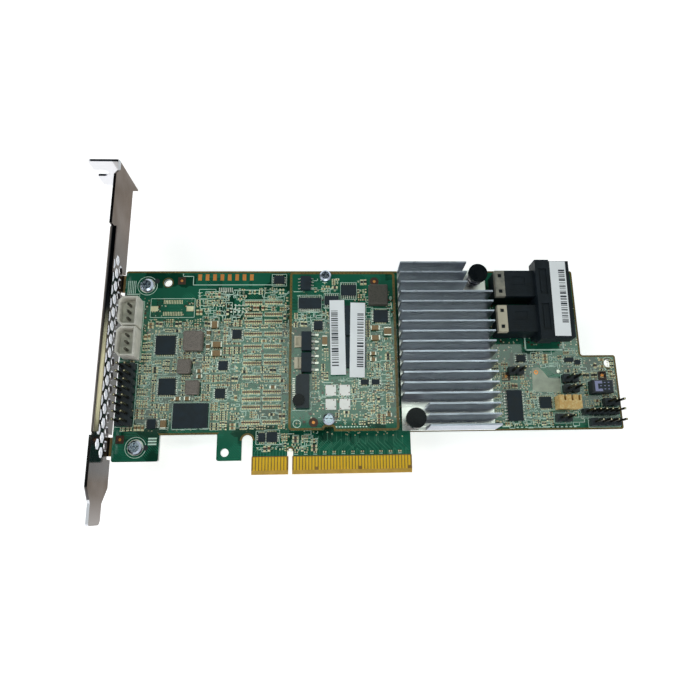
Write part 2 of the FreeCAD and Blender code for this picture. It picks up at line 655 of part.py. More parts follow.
# --- internal ports ----------------------------------------------------------------------------
def port_housing():
    half = PORT_BODY_WIDTH / 2
    ledge = PORT_BODY_HEIGHT - CLIP_DROP
    clip_end = clip_rear + CLIP_LENGTH
    top = BOARD_TOP
    wing = block(body_front, shroud_bottom, SKIRT_HEIGHT, body_front + WING_LENGTH, top, SHROUD_HEIGHT)
    mating = block(body_front, shroud_bottom + SHROUD_STEP, SKIRT_HEIGHT,
                   mating_face, top - SHROUD_STEP, SHROUD_HEIGHT)
    skirt = block(body_front, shroud_bottom + SKIRT_INSET, 0, mating_face, top - SKIRT_INSET, SKIRT_HEIGHT)
    pieces = [mating, skirt]
    for y in port_rows:
        pieces.append(block(clip_rear, y - half, 0, clip_end, y + half, ledge))
        pieces.append(block(clip_rear + CLIP_SHEET, y - half + CLIP_SHEET, ledge,
                            clip_end, y + half - CLIP_SHEET, PORT_BODY_HEIGHT - CLIP_SHEET))
        pieces.append(block(clip_end, y - half, 0, body_front, y + half, PORT_BODY_HEIGHT))
    housing = wing.fuse(pieces)
    for y in port_rows:
        bay = block(mating_face - BAY_DEPTH, y - BAY_WIDTH / 2, BAY_FLOOR,
                    mating_face + 1, y + BAY_WIDTH / 2, BAY_FLOOR + BAY_HEIGHT)
        window_x = body_front + LATCH_WINDOW_X
        window = block(window_x, y - LATCH_WINDOW_WIDTH / 2, BAY_FLOOR + BAY_HEIGHT - 0.01,
                       window_x + LATCH_WINDOW_LENGTH, y + LATCH_WINDOW_WIDTH / 2, SHROUD_HEIGHT + 1)
        mark_x = clip_end + MARK_X
        mark = block(mark_x, y - MARK_WIDTH / 2 + 1.0, PORT_BODY_HEIGHT - MARK_DEPTH,
                     mark_x + MARK_LENGTH, y + MARK_WIDTH / 2 + 1.0, PORT_BODY_HEIGHT + 1)
        housing = housing.cut([bay, window, mark])
    return [housing.removeSplitter()]


def port_clips():
    """Folded caps over the rear end of each port, with two square windows on top."""
    half = PORT_BODY_WIDTH / 2
    ledge = PORT_BODY_HEIGHT - CLIP_DROP
    ceiling = PORT_BODY_HEIGHT - CLIP_SHEET
    clip_end = clip_rear + CLIP_LENGTH
    clips = []
    for y in port_rows:
        clip = block(clip_rear, y - half, ledge, clip_end, y + half, PORT_BODY_HEIGHT)
        clip = clip.cut(block(clip_rear + CLIP_SHEET, y - half + CLIP_SHEET, ledge - 1,
                              clip_end + 1, y + half - CLIP_SHEET, ceiling))
        for side in (-1, 1):
            middle = V(clip_rear + CLIP_LENGTH / 2, y + side * CLIP_WINDOW_PITCH / 2, ceiling)
            clip = clip.cut(seated_block(middle, (CLIP_WINDOW, CLIP_WINDOW), 1))
        clips.append(clip)
    return clips


def port_inserts():
    """Contact carriers at the back of the bays, each with a slot for the plug's board edge."""
    rear = mating_face - BAY_DEPTH
    inserts = []
    for y in port_rows:
        insert = block(rear, y - INSERT_WIDTH / 2, INSERT_Z,
                       rear + INSERT_LENGTH, y + INSERT_WIDTH / 2, INSERT_Z + INSERT_HEIGHT)
        slot_z = INSERT_Z + (INSERT_HEIGHT - INSERT_SLOT) / 2
        slot = block(rear + INSERT_LENGTH - INSERT_SLOT_DEPTH, y - INSERT_WIDTH / 2 + 0.6, slot_z,
                     rear + INSERT_LENGTH + 1, y + INSERT_WIDTH / 2 - 0.6, slot_z + INSERT_SLOT)
        inserts.append(insert.cut(slot))
    return inserts


def bare_label(middle, width, length, turn):
    """A thin plain label, turned a little about its middle."""
    label = seated_block(V(0, 0, 0), (width, length), LABEL_THICKNESS)
    label.rotate(V(0, 0, 0), UP, turn)
    label.translate(middle)
    return label


def port_label():
    middle = V(mating_face - 4.0, shroud_middle + 0.15, SHROUD_HEIGHT)
    return [bare_label(middle, PORT_LABEL[1], PORT_LABEL[0], -0.9)]


# --- cache module ------------------------------------------------------------------------------
def standoff_places():
    return [module_field.place(*LOWER_STANDOFF), module_field.place(*UPPER_STANDOFF)]


def module_board():
    left = MODULE_LEFT
    right = MODULE_LEFT + MODULE_WIDTH
    top = module_bottom + module_height
    notch = module_field.place(NOTCH_X, 0).x
    half = NOTCH_WIDTH / 2
    notch_end = module_bottom + NOTCH_DEPTH
    left_bottom = module_bottom + MODULE_STEP
    corners = [
        (left, left_bottom, MODULE_CORNER), (notch - half, left_bottom, 0),
        (notch - half, notch_end, NOTCH_CORNER), (notch + half, notch_end, NOTCH_CORNER),
        (notch + half, module_bottom, 0), (right, module_bottom, MODULE_CORNER),
        (right, top, MODULE_CORNER), (left, top, MODULE_CORNER),
    ]
    board = prism(corners, module_floor, MODULE_THICKNESS)
    for place in standoff_places():
        board = board.cut(round_bar(place.x, place.y, module_floor, module_face, MODULE_SCREW_HOLE))
    return [board]


def standoffs():
    posts = []
    bore = MODULE_SCREW_SHANK + 2 * SCREW_CLEARANCE
    for place in standoff_places():
        post = prism(six_corners(place.x, place.y, STANDOFF_SIZE, 0), 0, STANDOFF_HEIGHT)
        thread_end = STANDOFF_HEIGHT - STANDOFF_DEPTH
        posts.append(post.cut(round_bar(place.x, place.y, thread_end, STANDOFF_HEIGHT, bore)))
    return posts


def module_screws():
    end = STANDOFF_HEIGHT - STANDOFF_DEPTH + 0.5
    return [pan_screw(place.x, place.y, module_face, end, MODULE_SCREW_SHANK, MODULE_SCREW_HEAD,
                      MODULE_SCREW_HEAD_HEIGHT) for place in standoff_places()]


def mezzanine(z0, z1, wall):
    """One half of the board-to-board connector: a long bar with a groove around its rim."""
    corner = module_field.place(MEZZANINE_X, MEZZANINE_Y)
    x1 = corner.x + MEZZANINE_WIDTH
    y1 = corner.y + MEZZANINE_LENGTH
    return block(corner.x + wall, corner.y + wall, z0, x1 - wall, y1 - wall, z1)


def mezzanine_receptacle():
    return [mezzanine(0, MEZZANINE_SPLIT, 0)]


def mezzanine_plug():
    return [mezzanine(MEZZANINE_SPLIT, module_floor, 0.4)]


MEMORY_PLACE = (19.2, 30.8)


def memory_chips():
    middle = module_field.place(*MEMORY_PLACE)
    offset = V(0, (MEMORY_LENGTH + MEMORY_GAP) / 2, 0)
    return [seated_block(middle - offset, (MEMORY_WIDTH, MEMORY_LENGTH), MEMORY_HEIGHT),
            seated_block(middle + offset, (MEMORY_WIDTH, MEMORY_LENGTH), MEMORY_HEIGHT)]


def module_labels():
    middle = module_field.place(*MEMORY_PLACE) + UP * MEMORY_HEIGHT
    return [bare_label(middle + V(x, y, 0), *MODULE_LABEL, turn)
            for (x, y), turn in zip(MODULE_LABEL_OFFSETS, MODULE_LABEL_TURNS)]


# --- surface-mount parts -----------------------------------------------------------------------
def chips(field, places):
    """Plain packages: places are (grid x, grid y, width, length, height)."""
    return [seated_block(field.place(x, y), (width, length), height)
            for x, y, width, length, height in places]


def gull_leads(field, place, size, pitch, sides):
    """Bent leads along two sides of a package: sides is 'x' for left and right, 'y' for the other two."""
    width, length, height = size
    count = int((length if sides == "x" else width) / pitch)
    middle = field.place(*place)
    shoulder = height / 2
    t = LEAD_THICKNESS
    leads = []
    for side in (0, 180):
        turn = side + (90 if sides == "y" else 0)
        half = (width if sides == "x" else length) / 2
        section = [(half, shoulder - t, 0), (half + LEAD_REACH * 0.4, 0, 0), (half + LEAD_REACH, 0, 0),
                   (half + LEAD_REACH, t, 0), (half + LEAD_REACH * 0.55, t, 0), (half, shoulder, 0)]
        for i in range(count):
            across = (i - (count - 1) / 2) * pitch
            lead = sheet_in_y(section, across - LEAD_WIDTH / 2, across + LEAD_WIDTH / 2)
            lead.rotate(V(0, 0, 0), UP, turn)
            lead.translate(middle)
            leads.append(lead)
    return leads


def moulded_inductor(place, size, height):
    """A pressed-powder inductor: a block with its upright edges and its top edge chamfered."""
    body = seated_block(place, size, height)
    top = place.z + height
    edges = [edge for edge in body.Edges if edge.CenterOfMass.z > top - 0.01 or edge.Length > height - 0.01
             and abs(edge.CenterOfMass.z - (place.z + top) / 2) < 0.01]
    return body.makeChamfer(INDUCTOR_CHAMFER, edges)


def ceramic_capacitors(field, places):
    """Bodies and metal ends of ceramic capacitors: places are (grid x, grid y, x size, y size, height)."""
    bodies = []
    ends = []
    for x, y, width, length, height in places:
        middle = field.place(x, y)
        lengthwise = width > length
        reach = (width if lengthwise else length) / 2
        axis = V(1, 0, 0) if lengthwise else V(0, 1, 0)
        body_size = (width - 2 * CAP_END, length) if lengthwise else (width, length - 2 * CAP_END)
        end_size = (CAP_END, length) if lengthwise else (width, CAP_END)
        bodies.append(seated_block(middle, body_size, height))
        for side in (-1, 1):
            ends.append(seated_block(middle + axis * side * (reach - CAP_END / 2), end_size, height))
    return bodies, ends


# packages on the left part of the board: grid x, grid y, width, length, height
LOGIC_CHIPS = [(14.9, 29.7, 6.4, 6.4, 0.9), (16.2, 15.7, 5.4, 5.4, 0.9), (34.1, 22.6, 3.0, 3.0, 0.8),
               (33.5, 13.3, 3.2, 3.2, 0.8), (38.3, 33.3, 3.0, 3.0, 0.9), (52.2, 52.7, 3.5, 2.8, 0.9),
               (50.7, -1.1, 3.4, 3.2, 0.9), (47.4, -1.2, 2.2, 2.8, 0.9)]
END_CHIPS = [(18.5, 9.1, 3.8, 3.8, 0.9), (11.4, 24.3, 3.0, 2.2, 0.9),
             (28.0, 23.7, 3.0, 1.4, 0.9), (30.9, 22.8, 1.8, 1.5, 0.9)]
MODULE_CHIPS = [(30.2, 37.7, 4.8, 4.1, 0.9), (9.5, 34.6, 2.9, 2.9, 0.9), (24.5, 15.6, 2.6, 1.6, 0.8),
                (28.0, 15.6, 2.5, 1.6, 0.8)]

# single packages: a grid place with a width, length and height
FLASH_PLACE = (24.3, 6.1)
FLASH_SIZE = (11.2, 8.0, 1.1)
BOOT_PLACE = (12.1, 3.6)
BOOT_SIZE = (2.6, 3.0, 1.0)
END_MEMORY_PLACE = (7.9, 8.2)
END_MEMORY_SIZE = (5.0, 10.2, 1.1)
SMALL_OUTLINE_PLACE = (5.3, 49.2)
SMALL_OUTLINE_SIZE = (3.4, 4.8, 1.4)
BUFFER_PLACE = (6.7, 42.2)
BUFFER_SIZE = (7.4, 3.6, 1.1)
DRIVER_PLACE = (13.9, 43.2)
DRIVER_SIZE = (4.6, 2.9, 1.0)
CLOCK_PLACE = (19.6, 46.7)
CLOCK_SIZE = (5.0, 3.6, 1.1)
POWER_PLACES = [(5.65, 29.1), (5.65, 22.0)]
BLOCK_PLACE = (4.5, 12.65)

INDUCTORS = [(24.2, 30.8, 6.3, 6.6, 3.0), (21.6, 22.2, 4.3, 4.7, 2.5), (24.6, 15.2, 4.4, 4.6, 2.5)]
MODULE_INDUCTOR = (29.4, 44.7, 6.4, 6.8, 3.0)

BOARD_CAPACITORS = [(31.9, 29.7, 3.4, 1.8, 1.5), (31.9, 26.7, 3.4, 1.8, 1.5), (30.9, 36.6, 2.6, 2.2, 1.5),
                    (26.4, 20.8, 1.8, 1.1, 0.9), (26.6, 19.0, 1.8, 1.1, 0.9), (23.0, 11.7, 2.0, 1.2, 0.9),
                    (19.9, 11.7, 2.0, 1.2, 0.9), (50.7, 15.2, 2.0, 1.0, 0.8), (15.9, 3.5, 1.7, 3.0, 1.5),
                    (28.9, 33.8, 1.2, 2.0, 0.9), (28.9, 29.0, 1.2, 2.0, 0.9)]
MODULE_CAPACITORS = [(28.2, 33.6, 3.0, 1.4, 1.4), (28.2, 30.2, 3.0, 1.5, 1.4), (32.3, 32.3, 2.4, 2.8, 1.5),
                     (11.6, 29.2, 1.6, 3.4, 1.4), (27.4, 25.0, 2.0, 1.1, 0.9), (27.4, 23.0, 2.0, 1.1, 0.9),
                     (32.0, 5.0, 1.8, 1.0, 0.9)]


def board_inductors():
    return [moulded_inductor(left_field.place(x, y), (width, length), height)
            for x, y, width, length, height in INDUCTORS]


def module_inductor():
    x, y, width, length, height = MODULE_INDUCTOR
    return [moulded_inductor(module_field.place(x, y), (width, length), height)]


def package(field, place, size):
    return seated_block(field.place(*place), size[:2], size[2])


def leaded_chips():
    return [package(left_field, BOOT_PLACE, BOOT_SIZE),
            package(end_field, END_MEMORY_PLACE, END_MEMORY_SIZE)]


def flash_memory():
    return [package(left_field, FLASH_PLACE, FLASH_SIZE)]


def leaded_chip_leads():
    return (gull_leads(left_field, BOOT_PLACE, BOOT_SIZE, FINE_LEAD_PITCH, "x")
            + gull_leads(end_field, END_MEMORY_PLACE, END_MEMORY_SIZE, CONTACT_PITCH, "x"))


def module_leaded_chips():
    return [package(module_field, SMALL_OUTLINE_PLACE, SMALL_OUTLINE_SIZE),
            package(module_field, BUFFER_PLACE, BUFFER_SIZE),
            package(module_field, DRIVER_PLACE, DRIVER_SIZE),
            package(module_field, CLOCK_PLACE, CLOCK_SIZE)]


def module_chip_leads():
    return gull_leads(module_field, SMALL_OUTLINE_PLACE, SMALL_OUTLINE_SIZE, WIDE_LEAD_PITCH, "x")


def power_packages():
    return [package(module_field, place, POWER_SIZE) for place in POWER_PLACES]


def power_tabs():
    """Metal tabs on the left of the power packages: a rimmed one and a grooved one."""
    depth, length, height = POWER_TAB
    rim = POWER_TAB_RIM
    tabs = []
    for x, y in POWER_PLACES:
        corner = module_field.place(x, y) - V(POWER_SIZE[0] / 2 + depth, length / 2, 0)
        tabs.append(Part.makeBox(depth, length, height, corner))
    rimmed, grooved = tabs
    corner = rimmed.BoundBox
    pocket = block(corner.XMin + rim, corner.YMin + rim, corner.ZMin + height / 2,
                   corner.XMax - rim, corner.YMax - rim, corner.ZMax)
    corner = grooved.BoundBox
    groove = block(corner.XMin + depth / 2, corner.YMin, corner.ZMax - rim,
                   corner.XMin + depth / 2 + rim, corner.YMax, corner.ZMax)
    return [rimmed.cut(pocket), grooved.cut(groove)]


def power_package_leads():
    """Three stout bent leads on the right of each power package."""
    shoulder = POWER_SIZE[2] / 2
    thickness = shoulder / 2
    reach = POWER_LEAD_REACH
    leads = []
    for x, y in POWER_PLACES:
        root = module_field.place(x, y) + V(POWER_SIZE[0] / 2, 0, 0)
        section = [(0, shoulder - thickness, 0), (reach * 0.4, 0, 0), (reach, 0, 0), (reach, thickness, 0),
                   (reach * 0.5, thickness, 0), (0, shoulder, 0)]
        for i in (-1, 0, 1):
            across = i * POWER_LEAD_PITCH
            lead = sheet_in_y(section, across - POWER_LEAD_WIDTH / 2, across + POWER_LEAD_WIDTH / 2)
            lead.translate(root)
            leads.append(lead)
    return leads


def block_connector():
    """The low dark connector near the module's lower left corner: one cut corner and a round boss."""
    x = BLOCK_SIZE[0] / 2
    y = BLOCK_SIZE[1] / 2
    corners = [(-x, -y, 0), (x, -y, 0), (x, y, 0), (BLOCK_CORNER[0] - x, y, 0), (-x, y - BLOCK_CORNER[1], 0)]
    boss = round_bar(BLOCK_BOSS[0] - x, BLOCK_BOSS[1] - y, 0, BLOCK_HEIGHT + 0.3, BLOCK_BOSS_SIZE)
    body = prism(corners, 0, BLOCK_HEIGHT).fuse(boss)
    body.translate(module_field.place(*BLOCK_PLACE))
    return [body]


# --- headers -----------------------------------------------------------------------------------
def cell_notch(x, y, z, cut):
    """The diamond taken out of a header's base between two cells."""
    return prism([(x - cut, y, 0), (x, y - cut, 0), (x + cut, y, 0), (x, y + cut, 0)], z, HEADER_BASE)


def header_base(middle, columns, rows, pitch):
    """A pin header's insulator: one chamfered cell to each pin, joined in a bar."""
    width = columns * pitch
    length = rows * pitch
    cut = pitch * NOTCH_SHARE
    base = seated_block(middle, (width, length), HEADER_BASE)
    notches = []
    for i in range(1, rows):
        y = middle.y - length / 2 + i * pitch
        for x in (middle.x - width / 2, middle.x + width / 2):
            notches.append(cell_notch(x, y, middle.z, cut))
    for i in range(1, columns):
        x = middle.x - width / 2 + i * pitch
        for y in (middle.y - length / 2, middle.y + length / 2):
            notches.append(cell_notch(x, y, middle.z, cut))
    return base.cut(notches)


def pin_places(middle, columns, rows, pitch):
    places = []
    for column in range(columns):
        for row in range(rows):
            across = (column - (columns - 1) / 2) * pitch
            along = (row - (rows - 1) / 2) * pitch
            places.append(middle + V(across, along, 0))
    return places


def square_pins(places, z0, z1):
    return [seated_block(V(place.x, place.y, z0), (PIN_SIZE, PIN_SIZE), z1 - z0) for place in places]


def main_header_middle():
    return left_field.place(HEADER_X, HEADER_Y)


# the far end's single-row headers: grid x, grid y, length, pitch
TWO_PINS = 2 * HEADER_PITCH
END_HEADERS = [(37.9, 2.3, 4 * HEADER_PITCH, HEADER_PITCH), (36.6, 5.75, 6 * FINE_PITCH, FINE_PITCH),
               (40.6, 8.9, TWO_PINS, HEADER_PITCH), (27.4, 17.1, TWO_PINS, HEADER_PITCH),
               (27.4, 13.6, TWO_PINS, HEADER_PITCH), (23.9, 3.8, TWO_PINS, HEADER_PITCH),
               (9.0, 19.8, TWO_PINS, HEADER_PITCH)]
CREAM_PLACE = (25.5, 8.8)
SOCKET_PLACE = (37.4, 13.9)


def main_header_base():
    return [header_base(main_header_middle(), HEADER_COLUMNS, HEADER_ROWS, HEADER_PITCH)]


def main_header_pins():
    places = pin_places(main_header_middle(), HEADER_COLUMNS, HEADER_ROWS, HEADER_PITCH)
    return square_pins(places, HEADER_BASE, PIN_TOP)


def end_header_bases():
    return [header_base(end_field.place(x, y), round(length / pitch), 1, pitch)
            for x, y, length, pitch in END_HEADERS]


def end_header_places():
    places = []
    for x, y, length, pitch in END_HEADERS:
        places += pin_places(end_field.place(x, y), round(length / pitch), 1, pitch)
    return places


def end_header_pins():
    return square_pins(end_header_places(), HEADER_BASE, PIN_TOP)


def wire_header_middles():
    middle = left_field.place(WIRE_HEADER_X, WIRE_HEADER_Y)
    offset = V(0, WIRE_HEADER_SPACING / 2, 0)
    return [middle - offset, middle + offset]


def wire_headers():
    """Two pale shrouded headers with cut corners and an open well round their pins."""
    headers = []
    for middle in wire_header_middles():
        body = wire_header_block(0).cut(wire_header_block(WIRE_HEADER_WALL))
        body.translate(middle)
        headers.append(body)
    return headers


def wire_header_block(inset):
    """The header's outer form, or with an inset the well inside its walls."""
    x = WIRE_HEADER_SIZE[0] / 2 - inset
    y = WIRE_HEADER_SIZE[1] / 2 - inset
    cut = WIRE_HEADER_CORNER - inset / 2
    start = WIRE_HEADER_FLOOR if inset > 0 else 0
    corners = [(cut - x, -y, 0), (x, -y, 0), (x, y, 0), (cut - x, y, 0), (-x, y - cut, 0), (-x, cut - y, 0)]
    return prism(corners, start, WIRE_HEADER_HEIGHT - start)


def wire_header_places():
    places = []
    for middle in wire_header_middles():
        places += pin_places(middle, 1, WIRE_HEADER_PINS, WIRE_HEADER_PITCH)
    return places


def wire_header_pins():
    return square_pins(wire_header_places(), WIRE_HEADER_FLOOR, WIRE_PIN_HEIGHT)


def cream_connector():
    """A small cream wire connector with open slots along one edge."""
    middle = end_field.place(*CREAM_PLACE)
    width, length = CREAM_SIZE
    body = seated_block(middle, CREAM_SIZE, CREAM_HEIGHT)
    for i in (-1, 0, 1):
        slot = middle + V(i * 2.4 + 0.6, length / 2 - 0.9, CREAM_HEIGHT - 2.5)
        body = body.cut(seated_block(slot, (0.7, 2.0), 3))
    mouth = block(middle.x + width / 2 - 1.6, middle.y - 0.7, 2.0, middle.x + width, middle.y + 0.5, 3.4)
    return [body.cut(mouth)]


def socket_block():
    middle = end_field.place(*SOCKET_PLACE)
    body = seated_block(middle, SOCKET_SIZE, SOCKET_HEIGHT)
    rim = [edge for edge in body.Edges if edge.CenterOfMass.z > SOCKET_HEIGHT - 0.01]
    return [body.makeChamfer(0.3, rim)]


# --- solder side -------------------------------------------------------------------------------
def solder_tails():
    """Pin ends that come out below the board."""
    places = (pin_places(main_header_middle(), HEADER_COLUMNS, HEADER_ROWS, HEADER_PITCH)
              + end_header_places() + wire_header_places())
    return square_pins(places, -BOARD_THICKNESS - TAIL_LENGTH, -BOARD_THICKNESS)


# --- the nodes ---------------------------------------------------------------------------------
def nodes():
    """Each node's name with its solids."""
    board_bodies, board_ends = ceramic_capacitors(left_field, BOARD_CAPACITORS)
    module_bodies, module_ends = ceramic_capacitors(module_field, MODULE_CAPACITORS)
    return {
        "main_board": main_board(),
        "edge_contacts_front": edge_contacts(0, SHORT_FRONT_CONTACTS),
        "edge_contacts_back": edge_contacts(-BOARD_THICKNESS - CONTACT_THICKNESS, SHORT_BACK_CONTACTS),
        "bracket": bracket(),
        "bracket_screws": bracket_screws(),
        "heatsink": heatsink(),
        "push_pins": push_pin_set(),
        "push_pin_springs": push_pin_springs(),
        "controller_package": controller_package(),
        "controller_die": controller_die(),
        "thermal_pad": thermal_pad(),
        "port_housing": port_housing(),
        "port_clips": port_clips(),
        "port_inserts": port_inserts(),
        "port_label": port_label(),
        "module_board": module_board(),
        "standoffs": standoffs(),
        "module_screws": module_screws(),
        "mezzanine_receptacle": mezzanine_receptacle(),
        "mezzanine_plug": mezzanine_plug(),
        "memory_chips": memory_chips(),
        "module_labels": module_labels(),
        "module_chips": chips(module_field, MODULE_CHIPS),
        "module_leaded_chips": module_leaded_chips(),
        "module_chip_leads": module_chip_leads(),
        "module_inductor": module_inductor(),
        "module_capacitors": module_bodies,
        "module_capacitor_ends": module_ends,
        "power_packages": power_packages(),
        "power_package_leads": power_package_leads(),
        "power_tabs": power_tabs(),
        "block_connector": block_connector(),
        "logic_chips": chips(left_field, LOGIC_CHIPS),
        "end_chips": chips(end_field, END_CHIPS),
        "flash_memory": flash_memory(),
        "leaded_chips": leaded_chips(),
        "leaded_chip_leads": leaded_chip_leads(),
        "inductors": board_inductors(),
        "capacitors": board_bodies,
        "capacitor_ends": board_ends,
        "main_header_base": main_header_base(),
        "main_header_pins": main_header_pins(),
        "end_header_bases": end_header_bases(),
        "end_header_pins": end_header_pins(),
        "wire_headers": wire_headers(),
        "wire_header_pins": wire_header_pins(),
        "cream_connector": cream_connector(),
        "socket_block": socket_block(),
        "solder_tails": solder_tails(),
    }


os.makedirs("parts", exist_ok=True)
for name, solids in nodes().items():
    shape = solids[0] if len(solids) == 1 else Part.makeCompound(solids)
    shape.exportStep("parts/" + name + ".step")
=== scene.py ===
"""Looks for the storage controller card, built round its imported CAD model.

Lengths are in millimetres in the card's own frame (+X away from the bracket, +Y to the top edge, +Z out
of the component face) and become metres where a mesh is made.
"""
import json
import math
import random

import bpy
from mathutils import Matrix, Vector


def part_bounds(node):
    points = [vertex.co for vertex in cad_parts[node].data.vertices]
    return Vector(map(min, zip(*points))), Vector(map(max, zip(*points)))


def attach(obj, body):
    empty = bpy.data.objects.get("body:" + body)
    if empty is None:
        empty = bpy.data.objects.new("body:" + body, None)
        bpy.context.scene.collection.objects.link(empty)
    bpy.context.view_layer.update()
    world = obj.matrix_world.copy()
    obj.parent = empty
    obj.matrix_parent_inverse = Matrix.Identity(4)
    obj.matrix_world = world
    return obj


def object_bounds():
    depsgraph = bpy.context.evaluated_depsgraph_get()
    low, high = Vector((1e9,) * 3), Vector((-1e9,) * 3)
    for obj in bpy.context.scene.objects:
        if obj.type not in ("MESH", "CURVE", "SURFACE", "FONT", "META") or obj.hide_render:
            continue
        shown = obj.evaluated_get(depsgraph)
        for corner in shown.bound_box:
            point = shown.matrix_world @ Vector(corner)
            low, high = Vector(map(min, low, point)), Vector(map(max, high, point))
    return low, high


MM = 0.001
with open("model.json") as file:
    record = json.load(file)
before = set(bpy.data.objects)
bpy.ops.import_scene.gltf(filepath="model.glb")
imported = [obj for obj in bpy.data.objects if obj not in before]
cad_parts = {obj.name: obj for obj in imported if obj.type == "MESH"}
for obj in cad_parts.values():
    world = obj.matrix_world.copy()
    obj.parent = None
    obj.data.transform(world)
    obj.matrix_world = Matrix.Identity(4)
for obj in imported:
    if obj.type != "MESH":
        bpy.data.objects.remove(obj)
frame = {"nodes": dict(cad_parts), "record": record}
cad_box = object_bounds()


# --- places read from the frame ---
def node_box(name):
    """A CAD node's lowest and highest corners in millimetres."""
    low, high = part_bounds(name)
    return Vector(low) / MM, Vector(high) / MM


def solid_boxes(name):
    """The box of each separate solid of a CAD node, in millimetres, from left to right."""
    mesh = frame["nodes"][name].data
    corners = [tuple(round(c / MM, 3) for c in vertex.co) for vertex in mesh.vertices]
    solids = {corner: {corner} for corner in corners}
    for polygon in mesh.polygons:
        first = solids[corners[polygon.vertices[0]]]
        for i in polygon.vertices:
            other = solids[corners[i]]
            if other is not first:
                first |= other
                solids.update((corner, first) for corner in other)
    boxes = []
    for solid in {id(solid): solid for solid in solids.values()}.values():
        low = Vector([min(corner[axis] for corner in solid) for axis in range(3)])
        high = Vector([max(corner[axis] for corner in solid) for axis in range(3)])
        boxes.append((low, high))
    return sorted(boxes, key=lambda pair: (round(pair[0].x, 2), pair[0].y))


def top_outline(name, height):
    """The longest closed outline of a CAD node's flat top at the height given, as (x, y) points."""
    mesh = frame["nodes"][name].data
    edges = {}
    for polygon in mesh.polygons:
        corners = [mesh.vertices[i].co / MM for i in polygon.vertices]
        if polygon.normal.z < 0.9 or min(corner.z for corner in corners) < height - 0.01:
            continue
        points = [(round(corner.x, 3), round(corner.y, 3)) for corner in corners]
        for here, there in zip(points, points[1:] + points[:1]):
            if edges.pop((there, here), None) is None:
                edges[(here, there)] = True
    following = dict(edges.keys())
    loops = []
    while following:
        start, here = following.popitem()
        loop = [start]
        while here != start and here in following:
            loop.append(here)
            here = following.pop(here)
        loops.append(loop)
    return max(loops, key=len)


BOARD_LOW, BOARD_HIGH = node_box("main_board")
MODULE_LOW, MODULE_HIGH = node_box("module_board")
SINK_LOW, SINK_HIGH = node_box("heatsink")
PORT_LOW, PORT_HIGH = node_box("port_housing")
BRACKET_LOW = node_box("bracket")[0]
LEFT, RIGHT, TOP = BOARD_LOW.x, BOARD_HIGH.x, BOARD_HIGH.y
END = SINK_HIGH.x  # the far end's parts begin past the heatsink
FACE = BOARD_HIGH.z
MODULE_FACE = MODULE_HIGH.z


# --- materials ---
def set_stops(ramp, stops):
    """Gives a colour ramp node its (position, colour) stops."""
    elements = ramp.color_ramp.elements
    while len(elements) < len(stops):
        elements.new(0.5)
    for element, (position, colour) in zip(elements, stops):
        element.position = position
        element.color = (*colour, 1.0)


